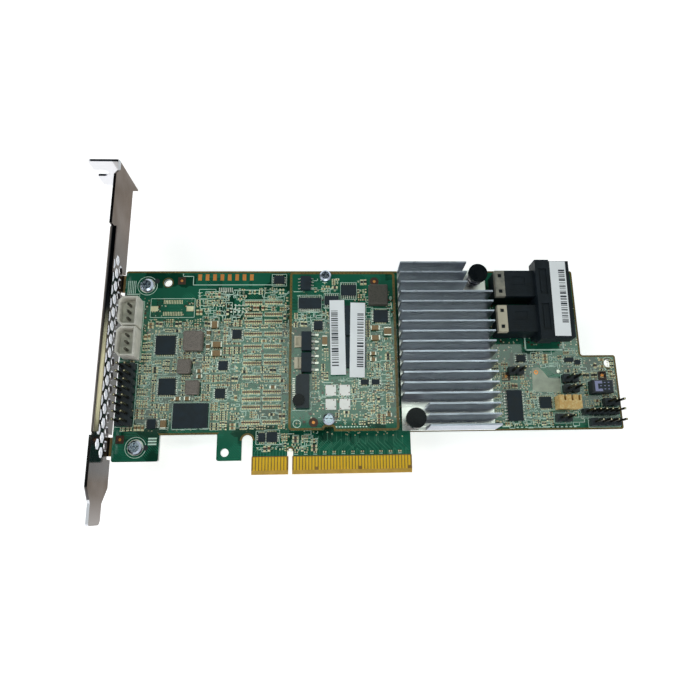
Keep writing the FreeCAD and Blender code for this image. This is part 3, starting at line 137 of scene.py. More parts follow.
class Look:
    """A procedural material under construction."""

    def __init__(self, name, colour, roughness, metallic=0.0, coat=0.0, specular=0.5):
        self.material = bpy.data.materials.new(name)
        self.material.use_nodes = True
        self.tree = self.material.node_tree
        self.shader = self.tree.nodes["Principled BSDF"]
        values = {"Base Color": (*colour, 1.0), "Roughness": roughness, "Metallic": metallic,
                  "Coat Weight": coat, "Coat Roughness": 0.12, "Specular IOR Level": specular}
        for socket, value in values.items():
            self.set_value(socket, value)
        self.coordinates = self.tree.nodes.new("ShaderNodeTexCoord").outputs["Object"]
        self.normal = None

    def set_value(self, name, value):
        """Sets one of the shader's own inputs to a plain value."""
        self.shader.inputs[name].default_value = value

    def feed(self, socket, value):
        """Links a socket to another one, or sets it to a plain value."""
        if isinstance(value, bpy.types.NodeSocket):
            self.tree.links.new(value, socket)
        else:
            socket.default_value = value

    def new(self, kind, **inputs):
        """A node of a kind with inputs fed; underscores stand for the spaces in their names."""
        node = self.tree.nodes.new(kind)
        for name, value in inputs.items():
            self.feed(node.inputs[name.replace("_", " ")], value)
        return node

    def axes(self):
        """The place on the object along X, Y and Z, in metres."""
        split = self.new("ShaderNodeSeparateXYZ", Vector=self.coordinates)
        return [split.outputs[axis] for axis in "XYZ"]

    def stretched(self, scale):
        """Coordinates stretched by a scale along each axis, in units of one millimetre."""
        mapping = self.new("ShaderNodeMapping", Vector=self.coordinates, Scale=[s / MM for s in scale])
        return mapping.outputs["Vector"]

    def noise(self, scale, detail=3.0, stretch=(1, 1, 1)):
        """Noise whose features are about 1/scale millimetres across."""
        vector = self.stretched([scale * s for s in stretch])
        return self.new("ShaderNodeTexNoise", Vector=vector, Scale=1.0, Detail=detail).outputs["Fac"]

    def stripes(self, scale, density, direction):
        """Parallel bands, closer together for a larger scale or density."""
        waves = self.new("ShaderNodeTexWave", Vector=self.stretched([scale] * 3), Scale=density,
                         Distortion=0.0)
        waves.bands_direction = direction
        return waves.outputs["Color"]

    def cells(self, scale):
        """A grid of jittered squares."""
        grid = self.new("ShaderNodeTexVoronoi", Vector=self.stretched(scale), Scale=1.0)
        grid.distance = "CHEBYCHEV"
        return grid

    def squares(self, cell, size, share):
        """Squares of a size scattered over a jittered grid of cells, in a share of the cells."""
        grid = self.cells((1 / cell, 1 / cell, 0.001))
        grid.inputs["Randomness"].default_value = 0.6
        inside = self.math("LESS_THAN", grid.outputs["Distance"], size / 2 / cell)
        return self.product(inside, self.math("LESS_THAN", grid.outputs["Color"], share))

    def grey(self, factor, low, high, start=0.3, end=0.7):
        """A factor mapped from start..end to low..high."""
        node = self.new("ShaderNodeMapRange", Value=factor, From_Min=start, From_Max=end, To_Min=low,
                        To_Max=high)
        return node.outputs["Result"]

    def rise(self, axis, start, end):
        """Goes from 0 to 1 between two places along an axis, in millimetres."""
        return self.grey(axis, 0.0, 1.0, start * MM, end * MM)

    def fall(self, axis, start, end, top=1.0):
        """Goes from top to 0 between two places along an axis, in millimetres."""
        return self.grey(axis, top, 0.0, start * MM, end * MM)

    def blend(self, factor, first, second):
        """Two colours mixed by a factor."""
        node = self.tree.nodes.new("ShaderNodeMix")
        node.data_type = "RGBA"
        self.feed(node.inputs["Factor"], factor)
        colours = [socket for socket in node.inputs if socket.type == "RGBA"]
        for socket, value in zip(colours, (first, second)):
            self.feed(socket, value if isinstance(value, bpy.types.NodeSocket) else (*value, 1.0))
        return next(socket for socket in node.outputs if socket.type == "RGBA")

    def math(self, operation, first, second):
        """A calculation with two sockets or numbers."""
        node = self.tree.nodes.new("ShaderNodeMath")
        node.operation = operation
        self.feed(node.inputs[0], first)
        self.feed(node.inputs[1], second)
        return node.outputs["Value"]

    def product(self, first, *others):
        """Factors multiplied together."""
        for other in others:
            first = self.math("MULTIPLY", first, other)
        return first

    def largest(self, first, *others):
        """The largest of several factors."""
        for other in others:
            first = self.math("MAXIMUM", first, other)
        return first

    def colour(self, socket):
        self.feed(self.shader.inputs["Base Color"], socket)

    def roughness(self, socket):
        self.feed(self.shader.inputs["Roughness"], socket)

    def bump(self, height, depth):
        """Relief of the depth given in millimetres."""
        node = self.new("ShaderNodeBump", Height=height, Distance=depth * MM, Strength=1.0)
        if self.normal is not None:
            self.feed(node.inputs["Normal"], self.normal)
        self.normal = node.outputs["Normal"]
        self.feed(self.shader.inputs["Normal"], self.normal)


# Cell, size, share of cells and colour of the finest marks on a board, in millimetres.
FINE_MARKS = (
    (1.9, 1.5, 0.4, (0.02, 0.10, 0.06)),
    (1.3, 0.75, 0.5, (0.06, 0.035, 0.015)),
    (0.95, 0.46, 0.55, (0.66, 0.60, 0.40)),
    (0.8, 0.34, 0.5, (0.01, 0.02, 0.02)),
    (1.1, 0.3, 0.5, (0.62, 0.78, 0.60)),
)


def solder_mask(name, deep, over_copper):
    """Glossy green mask, paler over copper, with fine pads and print away from the board's long edges."""
    look = Look(name, deep, 0.16, coat=1.0, specular=0.15)
    look.set_value("Coat Roughness", 0.06)
    pours = look.grey(look.cells((0.13, 0.17, 0.15)).outputs["Color"], 0.0, 0.55, 0.30, 0.34)
    slanted = look.stripes(0.5, 1.5, "DIAGONAL")
    level = look.stripes(0.4, 1.6, "Y")
    chooser = look.grey(look.noise(0.12, 1.0), 0.0, 1.0, 0.47, 0.5)
    bands = look.grey(look.blend(chooser, slanted, level), 0.0, 1.0, 0.5, 0.62)
    routed = look.grey(look.noise(0.09, 2.0), 0.0, 1.0, 0.5, 0.56)
    tracks = look.product(bands, routed)
    ground = look.blend(look.largest(pours, tracks), deep, over_copper)
    along_y = look.axes()[1]
    patches = look.grey(look.noise(0.14, 2.0), 0.0, 1.0, 0.44, 0.5)
    busy = look.product(look.rise(along_y, 13.5, 15.5), look.fall(along_y, 57.0, 60.0), patches)
    for cell, size, share, tone in FINE_MARKS:
        ground = look.blend(look.product(busy, look.squares(cell, size, share)), ground, tone)
    look.colour(ground)
    look.roughness(look.grey(look.noise(0.25, 4.0), 0.1, 0.2))
    look.bump(tracks, 0.012)
    look.bump(look.noise(1.2, 3.0), 0.006)
    return look.material


def metal(name, colour, roughness, grain, grain_axis=(1, 1, 1), stain=0.2, depth=0.004):
    """Bare or plated metal with a fine grain, faint stains and uneven polish."""
    look = Look(name, colour, roughness, metallic=1.0)
    lines = look.noise(grain, 4.0, grain_axis)
    cloud = look.noise(0.15, 3.0)
    darker = [c * (1 - stain) for c in colour]
    look.colour(look.blend(look.grey(cloud, 0.0, 1.0, 0.4, 0.7), colour, darker))
    look.roughness(look.grey(lines, roughness * 0.75, roughness * 1.35))
    look.bump(lines, depth)
    return look.material


def plated_bracket(name):
    """Nickel plate with painted reflections: a painted bright reflection on the screw tab and at the tip, a
    painted dark reflection in between, painted shade on the inner face, a painted highlight on the
    near-black lip, vent hole walls whitened partly as painted glints, and tan on the inner ears.
    """
    # Painted dark reflection: the plate's base colour is darkened to stand for the dark surroundings it
    # mirrors.
    dark_reflection = (0.075, 0.066, 0.058)
    look = Look(name, dark_reflection, 0.12, metallic=1.0)
    look.set_value("Specular Tint", (0.72, 0.66, 0.62, 1.0))
    x, y, z = look.axes()
    wall = BRACKET_LOW.x + 10.5
    tip = BRACKET_LOW.y
    normal = look.new("ShaderNodeNewGeometry").outputs["True Normal"]
    facing = look.new("ShaderNodeSeparateXYZ", Vector=normal).outputs["X"]
    edges = look.grey(look.math("ABSOLUTE", facing, 0.0), 1.0, 0.0, 0.5, 0.6)
    # Vent hole walls painted near white and less metallic: partly bare sheared edges, partly painted
    # glints.
    vent_edge_glints = look.product(edges, look.rise(x, wall - 0.2, wall - 0.05), look.rise(z, 0.6, 0.8),
                         look.fall(z, 11.5, 11.7))
    bent = look.rise(x, wall + 1.0, wall + 1.3)
    ears = look.product(bent, look.fall(z, 0.5, 0.8))
    lip = look.product(bent, look.rise(z, 11.0, 12.0))
    # Painted highlight: a golden streak along the middle of the lip.
    painted_lip_highlight = look.product(look.rise(y, 4.0, 24.0), look.fall(y, 30.0, 52.0))
    # Painted shade: the plate's inner face, away from the bent parts, is painted almost black from the
    # bottom up to about y 64 to 84.
    inner = look.product(look.rise(x, wall + 0.8, wall + 0.85), look.fall(y, 64.0, 84.0),
                         look.rise(y, -2.0, 2.0), look.math("SUBTRACT", 1.0, bent))
    # Painted bright reflection on the screw tab and at the tip, and at half strength on the plate's outer
    # side, with a little random polish variation mixed in.
    bright = look.largest(look.fall(x, wall - 2.5, wall - 1.0), look.fall(y, tip + 1.0, tip + 11.0, 0.3),
                          look.grey(look.noise(0.06, 3.0), 0.0, 0.12, 0.4, 0.7),
                          look.fall(x, wall + 0.05, wall + 0.3, 0.5))
    plate = look.blend(bright, dark_reflection, (0.79, 0.80, 0.84))
    # The lip is painted near black as a painted dark reflection, with the painted highlight in its middle.
    plate = look.blend(lip, plate, look.blend(painted_lip_highlight, (0.02, 0.022, 0.028), (0.62, 0.54, 0.36)))
    plate = look.blend(inner, plate, (0.012, 0.014, 0.018))
    plate = look.blend(vent_edge_glints, plate, (0.93, 0.95, 1.0))
    look.colour(look.blend(ears, plate, (0.42, 0.26, 0.09)))
    dull = look.largest(look.product(vent_edge_glints, 0.8), ears, look.product(lip, painted_lip_highlight, 0.7),
                        look.product(inner, 0.75))
    look.feed(look.shader.inputs["Metallic"], look.math("SUBTRACT", 1.0, dull))
    look.roughness(look.grey(look.noise(1.2, 4.0, (1, 0.12, 1)), 0.08, 0.18))
    look.bump(look.noise(2.0, 4.0, (1, 0.12, 1)), 0.002)
    return look.material


def extruded_sink(name):
    """Drawn aluminium: brushed along the fins, with the base plate painted brighter than the fins as a
    painted reflection.
    """
    look = Look(name, (0.50, 0.54, 0.60), 0.32, metallic=1.0)
    # Painted reflection: everything below the fins' roots is painted near white, and the fins are darker.
    base = look.fall(look.axes()[2], SINK_LOW.z + 1.75, SINK_LOW.z + 1.95)
    lines = look.noise(2.5, 4.0, (0.08, 1, 1))
    cloud = look.grey(look.noise(0.15, 3.0), 0.0, 1.0, 0.4, 0.7)
    drawn = look.blend(cloud, (0.44, 0.47, 0.56), (0.37, 0.40, 0.49))
    look.colour(look.blend(base, drawn, (0.95, 0.95, 0.92)))
    look.roughness(look.grey(lines, 0.24, 0.43))
    look.bump(lines, 0.006)
    return look.material


def moulded(name, colour, roughness, speck=0.12, grain=6.0, depth=0.008, specular=0.5):
    """Moulded plastic or resin: fine grain, slight mottling and polished-down high spots."""
    look = Look(name, colour, roughness, specular=specular)
    grains = look.noise(grain, 2.0)
    cloud = look.noise(0.4, 4.0)
    light = [min(c * (1 + speck) + 0.004, 1.0) for c in colour]
    dark = [c * (1 - speck) for c in colour]
    look.colour(look.blend(look.grey(cloud, 0.0, 1.0), dark, light))
    look.roughness(look.grey(cloud, roughness * 0.85, min(roughness * 1.15, 1.0)))
    look.bump(grains, depth)
    return look.material


def folded_clip(name):
    """Warm bright clip metal, tarnished grey on the clip nearer the top edge."""
    look = Look(name, (0.55, 0.50, 0.37), 0.4)
    tarnish = look.product(look.rise(look.axes()[1], 53.0, 55.0), look.grey(look.noise(0.5, 3.0), 0.6, 1.0))
    look.colour(look.blend(tarnish, (0.58, 0.53, 0.40), (0.15, 0.155, 0.14)))
    look.roughness(look.grey(look.noise(3.0, 3.0), 0.3, 0.5))
    look.bump(look.noise(5.0, 3.0), 0.006)
    return look.material


def speckled(name, dark, light, roughness, grain, depth=0.02):
    """Pressed powder or fired ceramic: two tones of fine specks."""
    look = Look(name, dark, roughness)
    specks = look.noise(grain, 2.0)
    ramp = look.new("ShaderNodeValToRGB", Fac=specks)
    set_stops(ramp, ((0.38, dark), (0.5, light), (0.68, dark)))
    look.colour(ramp.outputs["Color"])
    look.roughness(look.grey(specks, roughness * 0.8, min(roughness * 1.2, 1.0)))
    look.bump(specks, depth)
    return look.material


def paper(name, colour):
    """A satin label: fine fibres and faint grey shading."""
    look = Look(name, colour, 0.42, coat=0.2)
    fibres = look.noise(5.0, 5.0, (1, 0.4, 1))
    cloud = look.noise(0.1, 2.0)
    look.colour(look.blend(look.grey(cloud, 0.0, 1.0), colour, [c * 0.9 for c in colour]))
    look.bump(fibres, 0.004)
    return look.material


# Each look's maker and what it is given.
RECIPES = {
    "mask": (solder_mask, (0.002, 0.05, 0.026), (0.02, 0.19, 0.11)),
    "gold": (metal, (1.0, 0.60, 0.05), 0.36, 0.5, (1, 0.3, 1), 0.06, 0.0),
    "bracket": (plated_bracket,),
    "screw": (metal, (0.45, 0.52, 0.62), 0.18, 5.0),
    "fins": (extruded_sink,),
    "pin": (moulded, (0.002, 0.004, 0.006), 0.2, 0.12, 6.0, 0.002, 0.15),
    "spring": (metal, (0.4, 0.4, 0.4), 0.3, 6.0),
    "chip": (moulded, (0.006, 0.016, 0.026), 0.45, 0.3, 8.0, 0.006, 0.35),
    "substrate": (moulded, (0.02, 0.1, 0.05), 0.4),
    "silicon": (metal, (0.3, 0.32, 0.35), 0.15, 3.0),
    "pad": (moulded, (0.4, 0.42, 0.45), 0.8, 0.1, 3.0, 0.03),
    "port": (moulded, (0.004, 0.009, 0.014), 0.5, 0.25, 7.0, 0.01, 0.25),
    "cream": (folded_clip,),
    "warm_cream": (speckled, (0.78, 0.60, 0.27), (0.66, 0.40, 0.12), 0.5, 1.1),
    "paper": (paper, (0.93, 0.97, 1.0)),
    "tin": (metal, (0.72, 0.72, 0.66), 0.3, 5.0, (1, 1, 1), 0.3, 0.01),
    "solder": (moulded, (0.90, 0.80, 0.48), 0.3, 0.35, 3.0, 0.01),
    # Painted dark reflection: the header pins' metal colours are darkened to stand for the dark
    # surroundings they mirror.
    "pin_metal": (metal, (0.06, 0.045, 0.02), 0.25, 4.0, (1, 1, 0.2)),
    "pewter": (metal, (0.10, 0.09, 0.075), 0.3, 4.0, (1, 1, 0.2)),
    "brass": (metal, (0.30, 0.2, 0.08), 0.25, 4.0, (1, 1, 0.2)),
    "dark": (moulded, (0.020, 0.029, 0.036), 0.45, 0.25, 7.0, 0.01, 0.4),
    "ferrite": (speckled, (0.10, 0.09, 0.08), (0.25, 0.22, 0.19), 0.6, 3.5),
    "dark_ferrite": (speckled, (0.028, 0.028, 0.022), (0.08, 0.075, 0.06), 0.6, 3.5),
    "rust": (moulded, (0.16, 0.065, 0.03), 0.4, 0.3, 5.0),
    "ceramic": (speckled, (0.20, 0.12, 0.05), (0.30, 0.20, 0.09), 0.4, 5.0, 0.006),
    "resistor": (moulded, (0.012, 0.011, 0.012), 0.4, 0.3, 8.0),
    "ivory": (moulded, (0.78, 0.76, 0.68), 0.5, 0.12, 4.0, 0.012),
    "ink": (moulded, (0.70, 1.0, 0.80), 0.55, 0.1, 6.0, 0.006),
    # The pour's pale colour is partly real copper under the mask and partly a painted sheen.
    "pour": (moulded, (0.46, 0.52, 0.41), 0.35, 0.2, 3.0, 0.006),
    "olive": (moulded, (0.15, 0.10, 0.01), 0.35, 0.25, 4.0),
    "laminate": (moulded, (0.52, 0.32, 0.05), 0.4, 0.15, 5.0, 0.01),
    "gap": (moulded, (0.26, 0.14, 0.02), 0.4, 0.2, 5.0, 0.01),
    "copper": (metal, (0.86, 0.34, 0.10), 0.35, 4.0),
    "brown": (moulded, (0.045, 0.014, 0.004), 0.35, 0.2, 4.0),
    "bars": (moulded, (0.02, 0.026, 0.04), 0.5, 0.2, 5.0, 0.002),
    "white": (moulded, (0.95, 0.97, 0.92), 0.35, 0.04, 3.0, 0.01),
    "lavender": (moulded, (0.30, 0.32, 0.52), 0.45, 0.08, 5.0),
    "track": (moulded, (0.04, 0.24, 0.14), 0.25, 0.2, 3.0, 0.004),
    "glue": (moulded, (0.07, 0.045, 0.035), 0.4, 0.2, 3.0),
}
LOOKS = {name: make(name, *values) for name, (make, *values) in RECIPES.items()}

# The look of each material slot, where it has another name than the slot.
SLOT_LOOKS = {
    "solder_mask": "mask", "bracket_steel": "bracket", "screw_steel": "screw", "heatsink_metal": "fins",
    "pin_plastic": "pin", "spring_steel": "spring", "chip_black": "chip", "pad_grey": "pad",
    "port_plastic": "port", "clip_cream": "cream", "label_white": "paper", "lead_tin": "tin",
    "standoff_brass": "brass", "connector_dark": "dark", "ferrite_grey": "ferrite",
    "ceramic_brown": "ceramic", "header_cream": "ivory",
}

# Nodes whose finish differs from that of their material slot.
NODE_LOOKS = {
    "main_header_pins": "pin_metal", "end_header_pins": "pin_metal", "wire_header_pins": "pewter",
    "module_inductor": "dark_ferrite", "cream_connector": "warm_cream",
}


def dress_nodes():
    """Gives every CAD node its procedural material."""
    for entry in frame["record"]["subparts"]:
        name, slot = entry["node"], entry["material_slot"]
        look = NODE_LOOKS.get(name, SLOT_LOOKS.get(slot, slot))
        for place in frame["nodes"][name].material_slots:
            place.material = LOOKS[look]


# --- mesh building ---
def add_object(name, data):
    """A new object, linked into the scene."""
    item = bpy.data.objects.new(name, data)
    bpy.context.scene.collection.objects.link(item)
    return item


INK = 0.02        # height of printed lines
INK_WIDTH = 0.16  # width of most printed lines
TRACK = 0.012     # height of tracks under the mask
PAD = 0.035       # height of bare pads


def grown(low, high, x, y=None):
    """A box's outline from above, grown by x to each side and by y, or x again, up and down."""
    if y is None:
        y = x
    return low.x - x, low.y - y, high.x + x, high.y + y


def circle(x, y, radius, sides):
    """The corners of a regular polygon."""
    angles = [2 * math.pi * i / sides for i in range(sides)]
    return [(x + radius * math.cos(angle), y + radius * math.sin(angle)) for angle in angles]


def moved(zone, x, y=0.0):
    """A zone (x0, y0, x1, y1) given from a corner, moved to where the corner is."""
    return zone[0] + x, zone[1] + y, zone[2] + x, zone[3] + y


class Pieces:
    """Collects small prisms, each in its own look, and makes one Blender piece of them."""

    def __init__(self, name, slot):
        self.name = name
        self.slot = slot
        self.vertices = []
        self.faces = []
        self.face_looks = []
        self.looks = []

    def add(self, vertices, faces, look):
        """Adds faces over vertices of their own, all in one look."""
        start = len(self.vertices)
        if look not in self.looks:
            self.looks.append(look)
        self.vertices += vertices
        self.faces += [[start + i for i in face] for face in faces]
        self.face_looks += [self.looks.index(look)] * len(faces)

    def prism(self, outline, z, height, look, inset=0.0):
        """An upright prism over an (x, y) outline; its top can be drawn in by an inset, as a bevel."""
        count = len(outline)
        cx = sum(x for x, y in outline) / count
        cy = sum(y for x, y in outline) / count
        vertices = [(x, y, level) for level in (z, z + height - inset) for x, y in outline]
        if inset > 0:
            for x, y in outline:
                reach = max(math.hypot(x - cx, y - cy), 1e-6)
                share = 1 - inset * 1.3 / reach
                vertices.append((cx + (x - cx) * share, cy + (y - cy) * share, z + height))
        top = len(vertices) - count
        faces = [[start + i, start + (i + 1) % count, start + count + (i + 1) % count, start + count + i]
                 for start in range(0, top, count) for i in range(count)]
        faces.append([top + i for i in range(count)])
        faces.append([count - 1 - i for i in range(count)])
        self.add(vertices, faces, look)

    def box(self, x0, y0, x1, y1, z, height, look, inset=0.0):
        self.prism([(x0, y0), (x1, y0), (x1, y1), (x0, y1)], z, height, look, inset)

    def block(self, x, y, across, up, z, height, look, inset=0.0):
        """A box on the face at z, centred on a point."""
        self.box(x - across / 2, y - up / 2, x + across / 2, y + up / 2, z, height, look, inset)

    def disc(self, x, y, radius, z, height, look, sides=28, inset=0.0):
        self.prism(circle(x, y, radius, sides), z, height, look, inset)

    def ring(self, x, y, inner, outer, z, height, look, sides=36):
        """A flat ring: four circles of corners, joined by four bands of faces."""
        top = z + height
        rims = ((inner, z), (outer, z), (outer, top), (inner, top))
        vertices = [(*corner, level) for radius, level in rims for corner in circle(x, y, radius, sides)]
        faces = [[here + i, here + (i + 1) % sides, there + (i + 1) % sides, there + i]
                 for here, there in ((0, sides), (sides, 2 * sides), (2 * sides, 3 * sides), (3 * sides, 0))
                 for i in range(sides)]
        self.add(vertices, faces, look)

    def line(self, points, width, z, look="ink", height=INK):
        """A flat ribbon along points, squared off past each of them."""
        half = width / 2
        for (x0, y0), (x1, y1) in zip(points, points[1:]):
            length = math.hypot(x1 - x0, y1 - y0)
            ux, uy = (x1 - x0) / length * half, (y1 - y0) / length * half
            self.prism([(x0 - ux + uy, y0 - uy - ux), (x1 + ux + uy, y1 + uy - ux),
                        (x1 + ux - uy, y1 + uy + ux), (x0 - ux - uy, y0 - uy + ux)], z, height, look)

    def frame(self, x0, y0, x1, y1, width, z):
        """A printed rectangle."""
        self.line([(x0, y0), (x1, y0), (x1, y1), (x0, y1), (x0, y0)], width, z)

    def finish(self):
        """Makes the piece, which rides on the card."""
        mesh = bpy.data.meshes.new(self.name)
        mesh.from_pydata([Vector(v) * MM for v in self.vertices], [], self.faces)
        for look in self.looks:
            mesh.materials.append(LOOKS[look])
        mesh.polygons.foreach_set("material_index", self.face_looks)
        mesh.update()
        piece = add_object(self.name, mesh)
        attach(piece, "root")


class Ground:
    """What already stands on a board face, so that small parts keep clear of it."""

    def __init__(self, low, high, nodes):
        self.low = low
        self.high = high
        self.taken = [grown(*box, 0) for node in nodes for box in solid_boxes(node)]

    def free(self, x0, y0, x1, y1):
        """Whether a rectangle lies on the face and touches nothing on it."""
        if x0 < self.low[0] or y0 < self.low[1] or x1 > self.high[0] or y1 > self.high[1]:
            return False
        return all(x1 < a or x0 > c or y1 < b or y0 > d for a, b, c, d in self.taken)

    def take(self, x0, y0, x1, y1):
        self.taken.append((x0, y0, x1, y1))


# --- small parts ---
def part_box(pieces, x, y, upright, start, stop, side, z, height, look, inset=0.0):
    """A box from start to stop along a part's own axis, reaching a distance to each side of it."""
    if upright:
        pieces.box(x - side, y + start, x + side, y + stop, z, height, look, inset)
    else:
        pieces.box(x + start, y - side, x + stop, y + side, z, height, look, inset)


def chip_part(pieces, x, y, length, width, height, upright, z, body):
    """A chip resistor or capacitor on its two pads, with solder climbing its ends."""
    half, side = length / 2, width / 2
    inner = half - length * 0.24
    part_box(pieces, x, y, upright, -inner, inner, side, z, height, body, 0.03)
    for start, stop in ((-half, -inner), (inner, half)):
        part_box(pieces, x, y, upright, start, stop, side, z, height * 1.02, "solder", 0.05)
    for start, stop in ((-half - 0.18, -inner), (inner, half + 0.18)):
        part_box(pieces, x, y, upright, start, stop, side + 0.05, z, PAD, "solder")


def empty_pads(pieces, x, y, length, width, upright, z):
    """The two bare pads of a part that isn't fitted."""
    half, gap = length / 2, length * 0.16
    for start, stop in ((-half, -gap), (gap, half)):
        part_box(pieces, x, y, upright, start, stop, width / 2, z, PAD, "solder")


def via(pieces, x, y, z):
    """A small plated hole's ring."""
    pieces.ring(x, y, 0.1, 0.24, z, INK, "solder", 8)


def populate(pieces, ground, zone, z, seed, filled, patch=3.2):
    """Fills a zone with small parts in patches, each with its own direction, pitch and kind."""
    x0, y0, x1, y1 = zone
    rng = random.Random(seed)
    columns = max(1, round((x1 - x0) / patch))
    rows = max(1, round((y1 - y0) / patch))
    across = [x0 + (x1 - x0) * i / columns for i in range(columns + 1)]
    up = [y0 + (y1 - y0) * i / rows for i in range(rows + 1)]
    for left, right in zip(across, across[1:]):
        for low, high in zip(up, up[1:]):
            fill_patch(pieces, ground, (left, low, right, high), z, rng, filled)


# Length, width and height of the chip parts, and their bodies; the common ones stand more than once.
CHIP_SIZES = ((1, 0.5, 0.36), (1, 0.5, 0.36), (0.8, 0.4, 0.3), (1.6, 0.8, 0.5))
CHIP_BODIES = ("resistor", "resistor", "resistor", "ceramic", "rust", "glue")


def fill_patch(pieces, ground, patch, z, rng, filled):
    """Fills one patch with parts of one kind, empty pads and vias in rows."""
    left, low, right, high = patch
    upright = rng.random() < 0.5
    length, width, height = rng.choice(CHIP_SIZES)
    body = rng.choice(CHIP_BODIES)
    step_x = (width + 0.34) if upright else (length + 0.5)
    step_y = (length + 0.5) if upright else (width + 0.34)
    a, b = (width / 2, length / 2) if upright else (length / 2, width / 2)
    x = left + step_x / 2 + rng.uniform(0, 0.3)
    while x < right - step_x / 2 + 0.1:
        y = low + step_y / 2 + rng.uniform(0, 0.2)
        while y < high - step_y / 2 + 0.1:
            spot = (x - a - 0.15, y - b - 0.15, x + a + 0.15, y + b + 0.15)
            if ground.free(*spot):
                chance = rng.random()
                if chance < filled:
                    chip_part(pieces, x, y, length, width, height, upright, z, body)
                    ground.take(*spot)
                    if rng.random() < 0.4:
                        pieces.frame(*spot, 0.1, z)
                elif chance < filled + 0.14:
                    empty_pads(pieces, x, y, length, width, upright, z)
                    ground.take(*spot)
                else:
                    via(pieces, x, y, z)
                    pieces.box(x - a, y + 0.3, x + a, y + 0.42, z, INK, "ink")
            y += step_y
        x += step_x


def stray_print(pieces, zone, z, seed, count):
    """Printed outlines, corners and dashes between the small parts."""
    x0, y0, x1, y1 = zone
    rng = random.Random(seed)
    for _ in range(count):
        x, y = rng.uniform(x0, x1 - 0.5), rng.uniform(y0, y1 - 0.5)
        across = min(x + rng.uniform(0.5, 3.4), x1)
        up = min(y + rng.uniform(0.4, 2.2), y1)
        kind = rng.random()
        if kind < 0.3:
            pieces.frame(x, y, across, up, 0.18, z)
        else:
            pieces.line([(x, y), (across, y), (across, up)][:3 if kind < 0.7 else 2], 0.18, z)


def bank(pieces, ground, x, y):
    """A tidy row of eight upright chip parts inside one printed frame, where it has room."""
    count, pitch = 8, 0.75
    length, width, height = 1, 0.5, 0.38
    spot = (x - width, y - length / 2 - 0.35, x + (count - 1) * pitch + width, y + length / 2 + 0.35)
    if not ground.free(*spot):
        return
    for i in range(count):
        chip_part(pieces, x + i * pitch, y, length, width, height, True, FACE, "rust")
    pieces.frame(*spot, 0.12, FACE)
    ground.take(*spot)


def chip_surround(pieces, ground, low, high, z, pitch):
    """Pads and a printed frame round a leadless package."""
    middle = (low + high) / 2
    side = min(high.x - low.x, high.y - low.y)
    count = max(3, round(side / (pitch + 0.05)))
    width, length = 0.28, 0.55
    for i in range(count):
        across = (i - (count - 1) / 2) * pitch
        for y in (low.y - length / 2, high.y + length / 2):
            pieces.block(middle.x + across, y, width, length, z, PAD, "solder")
        for x in (low.x - length / 2, high.x + length / 2):
            pieces.block(x, middle.y + across, length, width, z, PAD, "tin")
    pieces.frame(*grown(low, high, length + 0.2), INK_WIDTH, z)
    ground.take(*grown(low, high, 0.7))


def bent_leads(pieces, low, high, z):
    """Gull-wing leads along the lower and upper sides of a package."""
    count, pitch = round((high.x - low.x) / 0.66), 0.65
    width, reach, thick = 0.26, 0.95, 0.12
    middle = (low + high) / 2
    shoulder = (high.z - z) * 0.55
    profile = [(0, shoulder - thick), (0.3 * reach, shoulder - thick), (0.5 * reach, 0), (reach, 0),
               (reach, 0.14), (0.6 * reach, 0.14), (0.4 * reach, shoulder), (0, shoulder)]
    corners = len(profile)
    faces = [[i, (i + 1) % corners, corners + (i + 1) % corners, corners + i] for i in range(corners)]
    faces.append(list(range(corners)))
    faces.append(list(reversed(range(corners, 2 * corners))))
    for edge, way in ((low.y, -1), (high.y, 1)):
        for i in range(count):
            x = middle.x + (i - (count - 1) / 2) * pitch
            vertices = [(x + side, edge + way * out, z + up)
                        for side in (-width / 2, width / 2) for out, up in profile]
            pieces.add(vertices, faces, "tin")


# --- main board ---
def inward_strip(pieces, loop, width, z, lowest=-math.inf):
    """A flat unmasked strip just inside an outline, where the outline lies above the lowest y."""
    points = [Vector(point) for point in loop]
    inner = []
    for before, here, after in zip(points[-1:] + points, points, points[1:] + points[:1]):
        normal = ((here - before).normalized() + (after - here).normalized()).orthogonal()
        inner.append(tuple(here + normal.normalized() * width / max(normal.length / 2, 0.5)))
    for i in range(-1, len(loop) - 1):
        if min(loop[i][1], loop[i + 1][1]) > lowest:
            pieces.prism([loop[i], loop[i + 1], inner[i + 1], inner[i]], z, INK, "olive")


def board_border():
    """The unmasked olive border that follows each board's outline."""
    border = Pieces("board_border", "solder_mask")
    contacts_top = node_box("edge_contacts_front")[1].y
    inward_strip(border, top_outline("main_board", FACE), 0.62, FACE, contacts_top + 0.4)
    inward_strip(border, top_outline("module_board", MODULE_FACE), 0.75, MODULE_FACE)
    border.finish()


def edge_dots():
    """Small plated holes in a row along the long straight edges, inside the unmasked border."""
    dots = Pieces("edge_dots", "solder_mask")
    pitch, end_gap, radius = 1.25, 1.5, 0.17
    shortest, contact_zone = 6, 6
    for name, z, inset in (("main_board", FACE, 0.34), ("module_board", MODULE_FACE, 0.42)):
        points = [Vector(point) for point in top_outline(name, z)]
        for here, there in zip(points, points[1:] + points[:1]):
            length = (there - here).length
            if length < shortest or min(here.y, there.y) < contact_zone:
                continue
            way = (there - here).normalized()
            for i in range(int((length - 2) / pitch)):
                x, y = here + way * (end_gap + i * pitch) + way.orthogonal() * inset
                dots.disc(x, y, radius, z, PAD, "brown", 8)
    dots.finish()


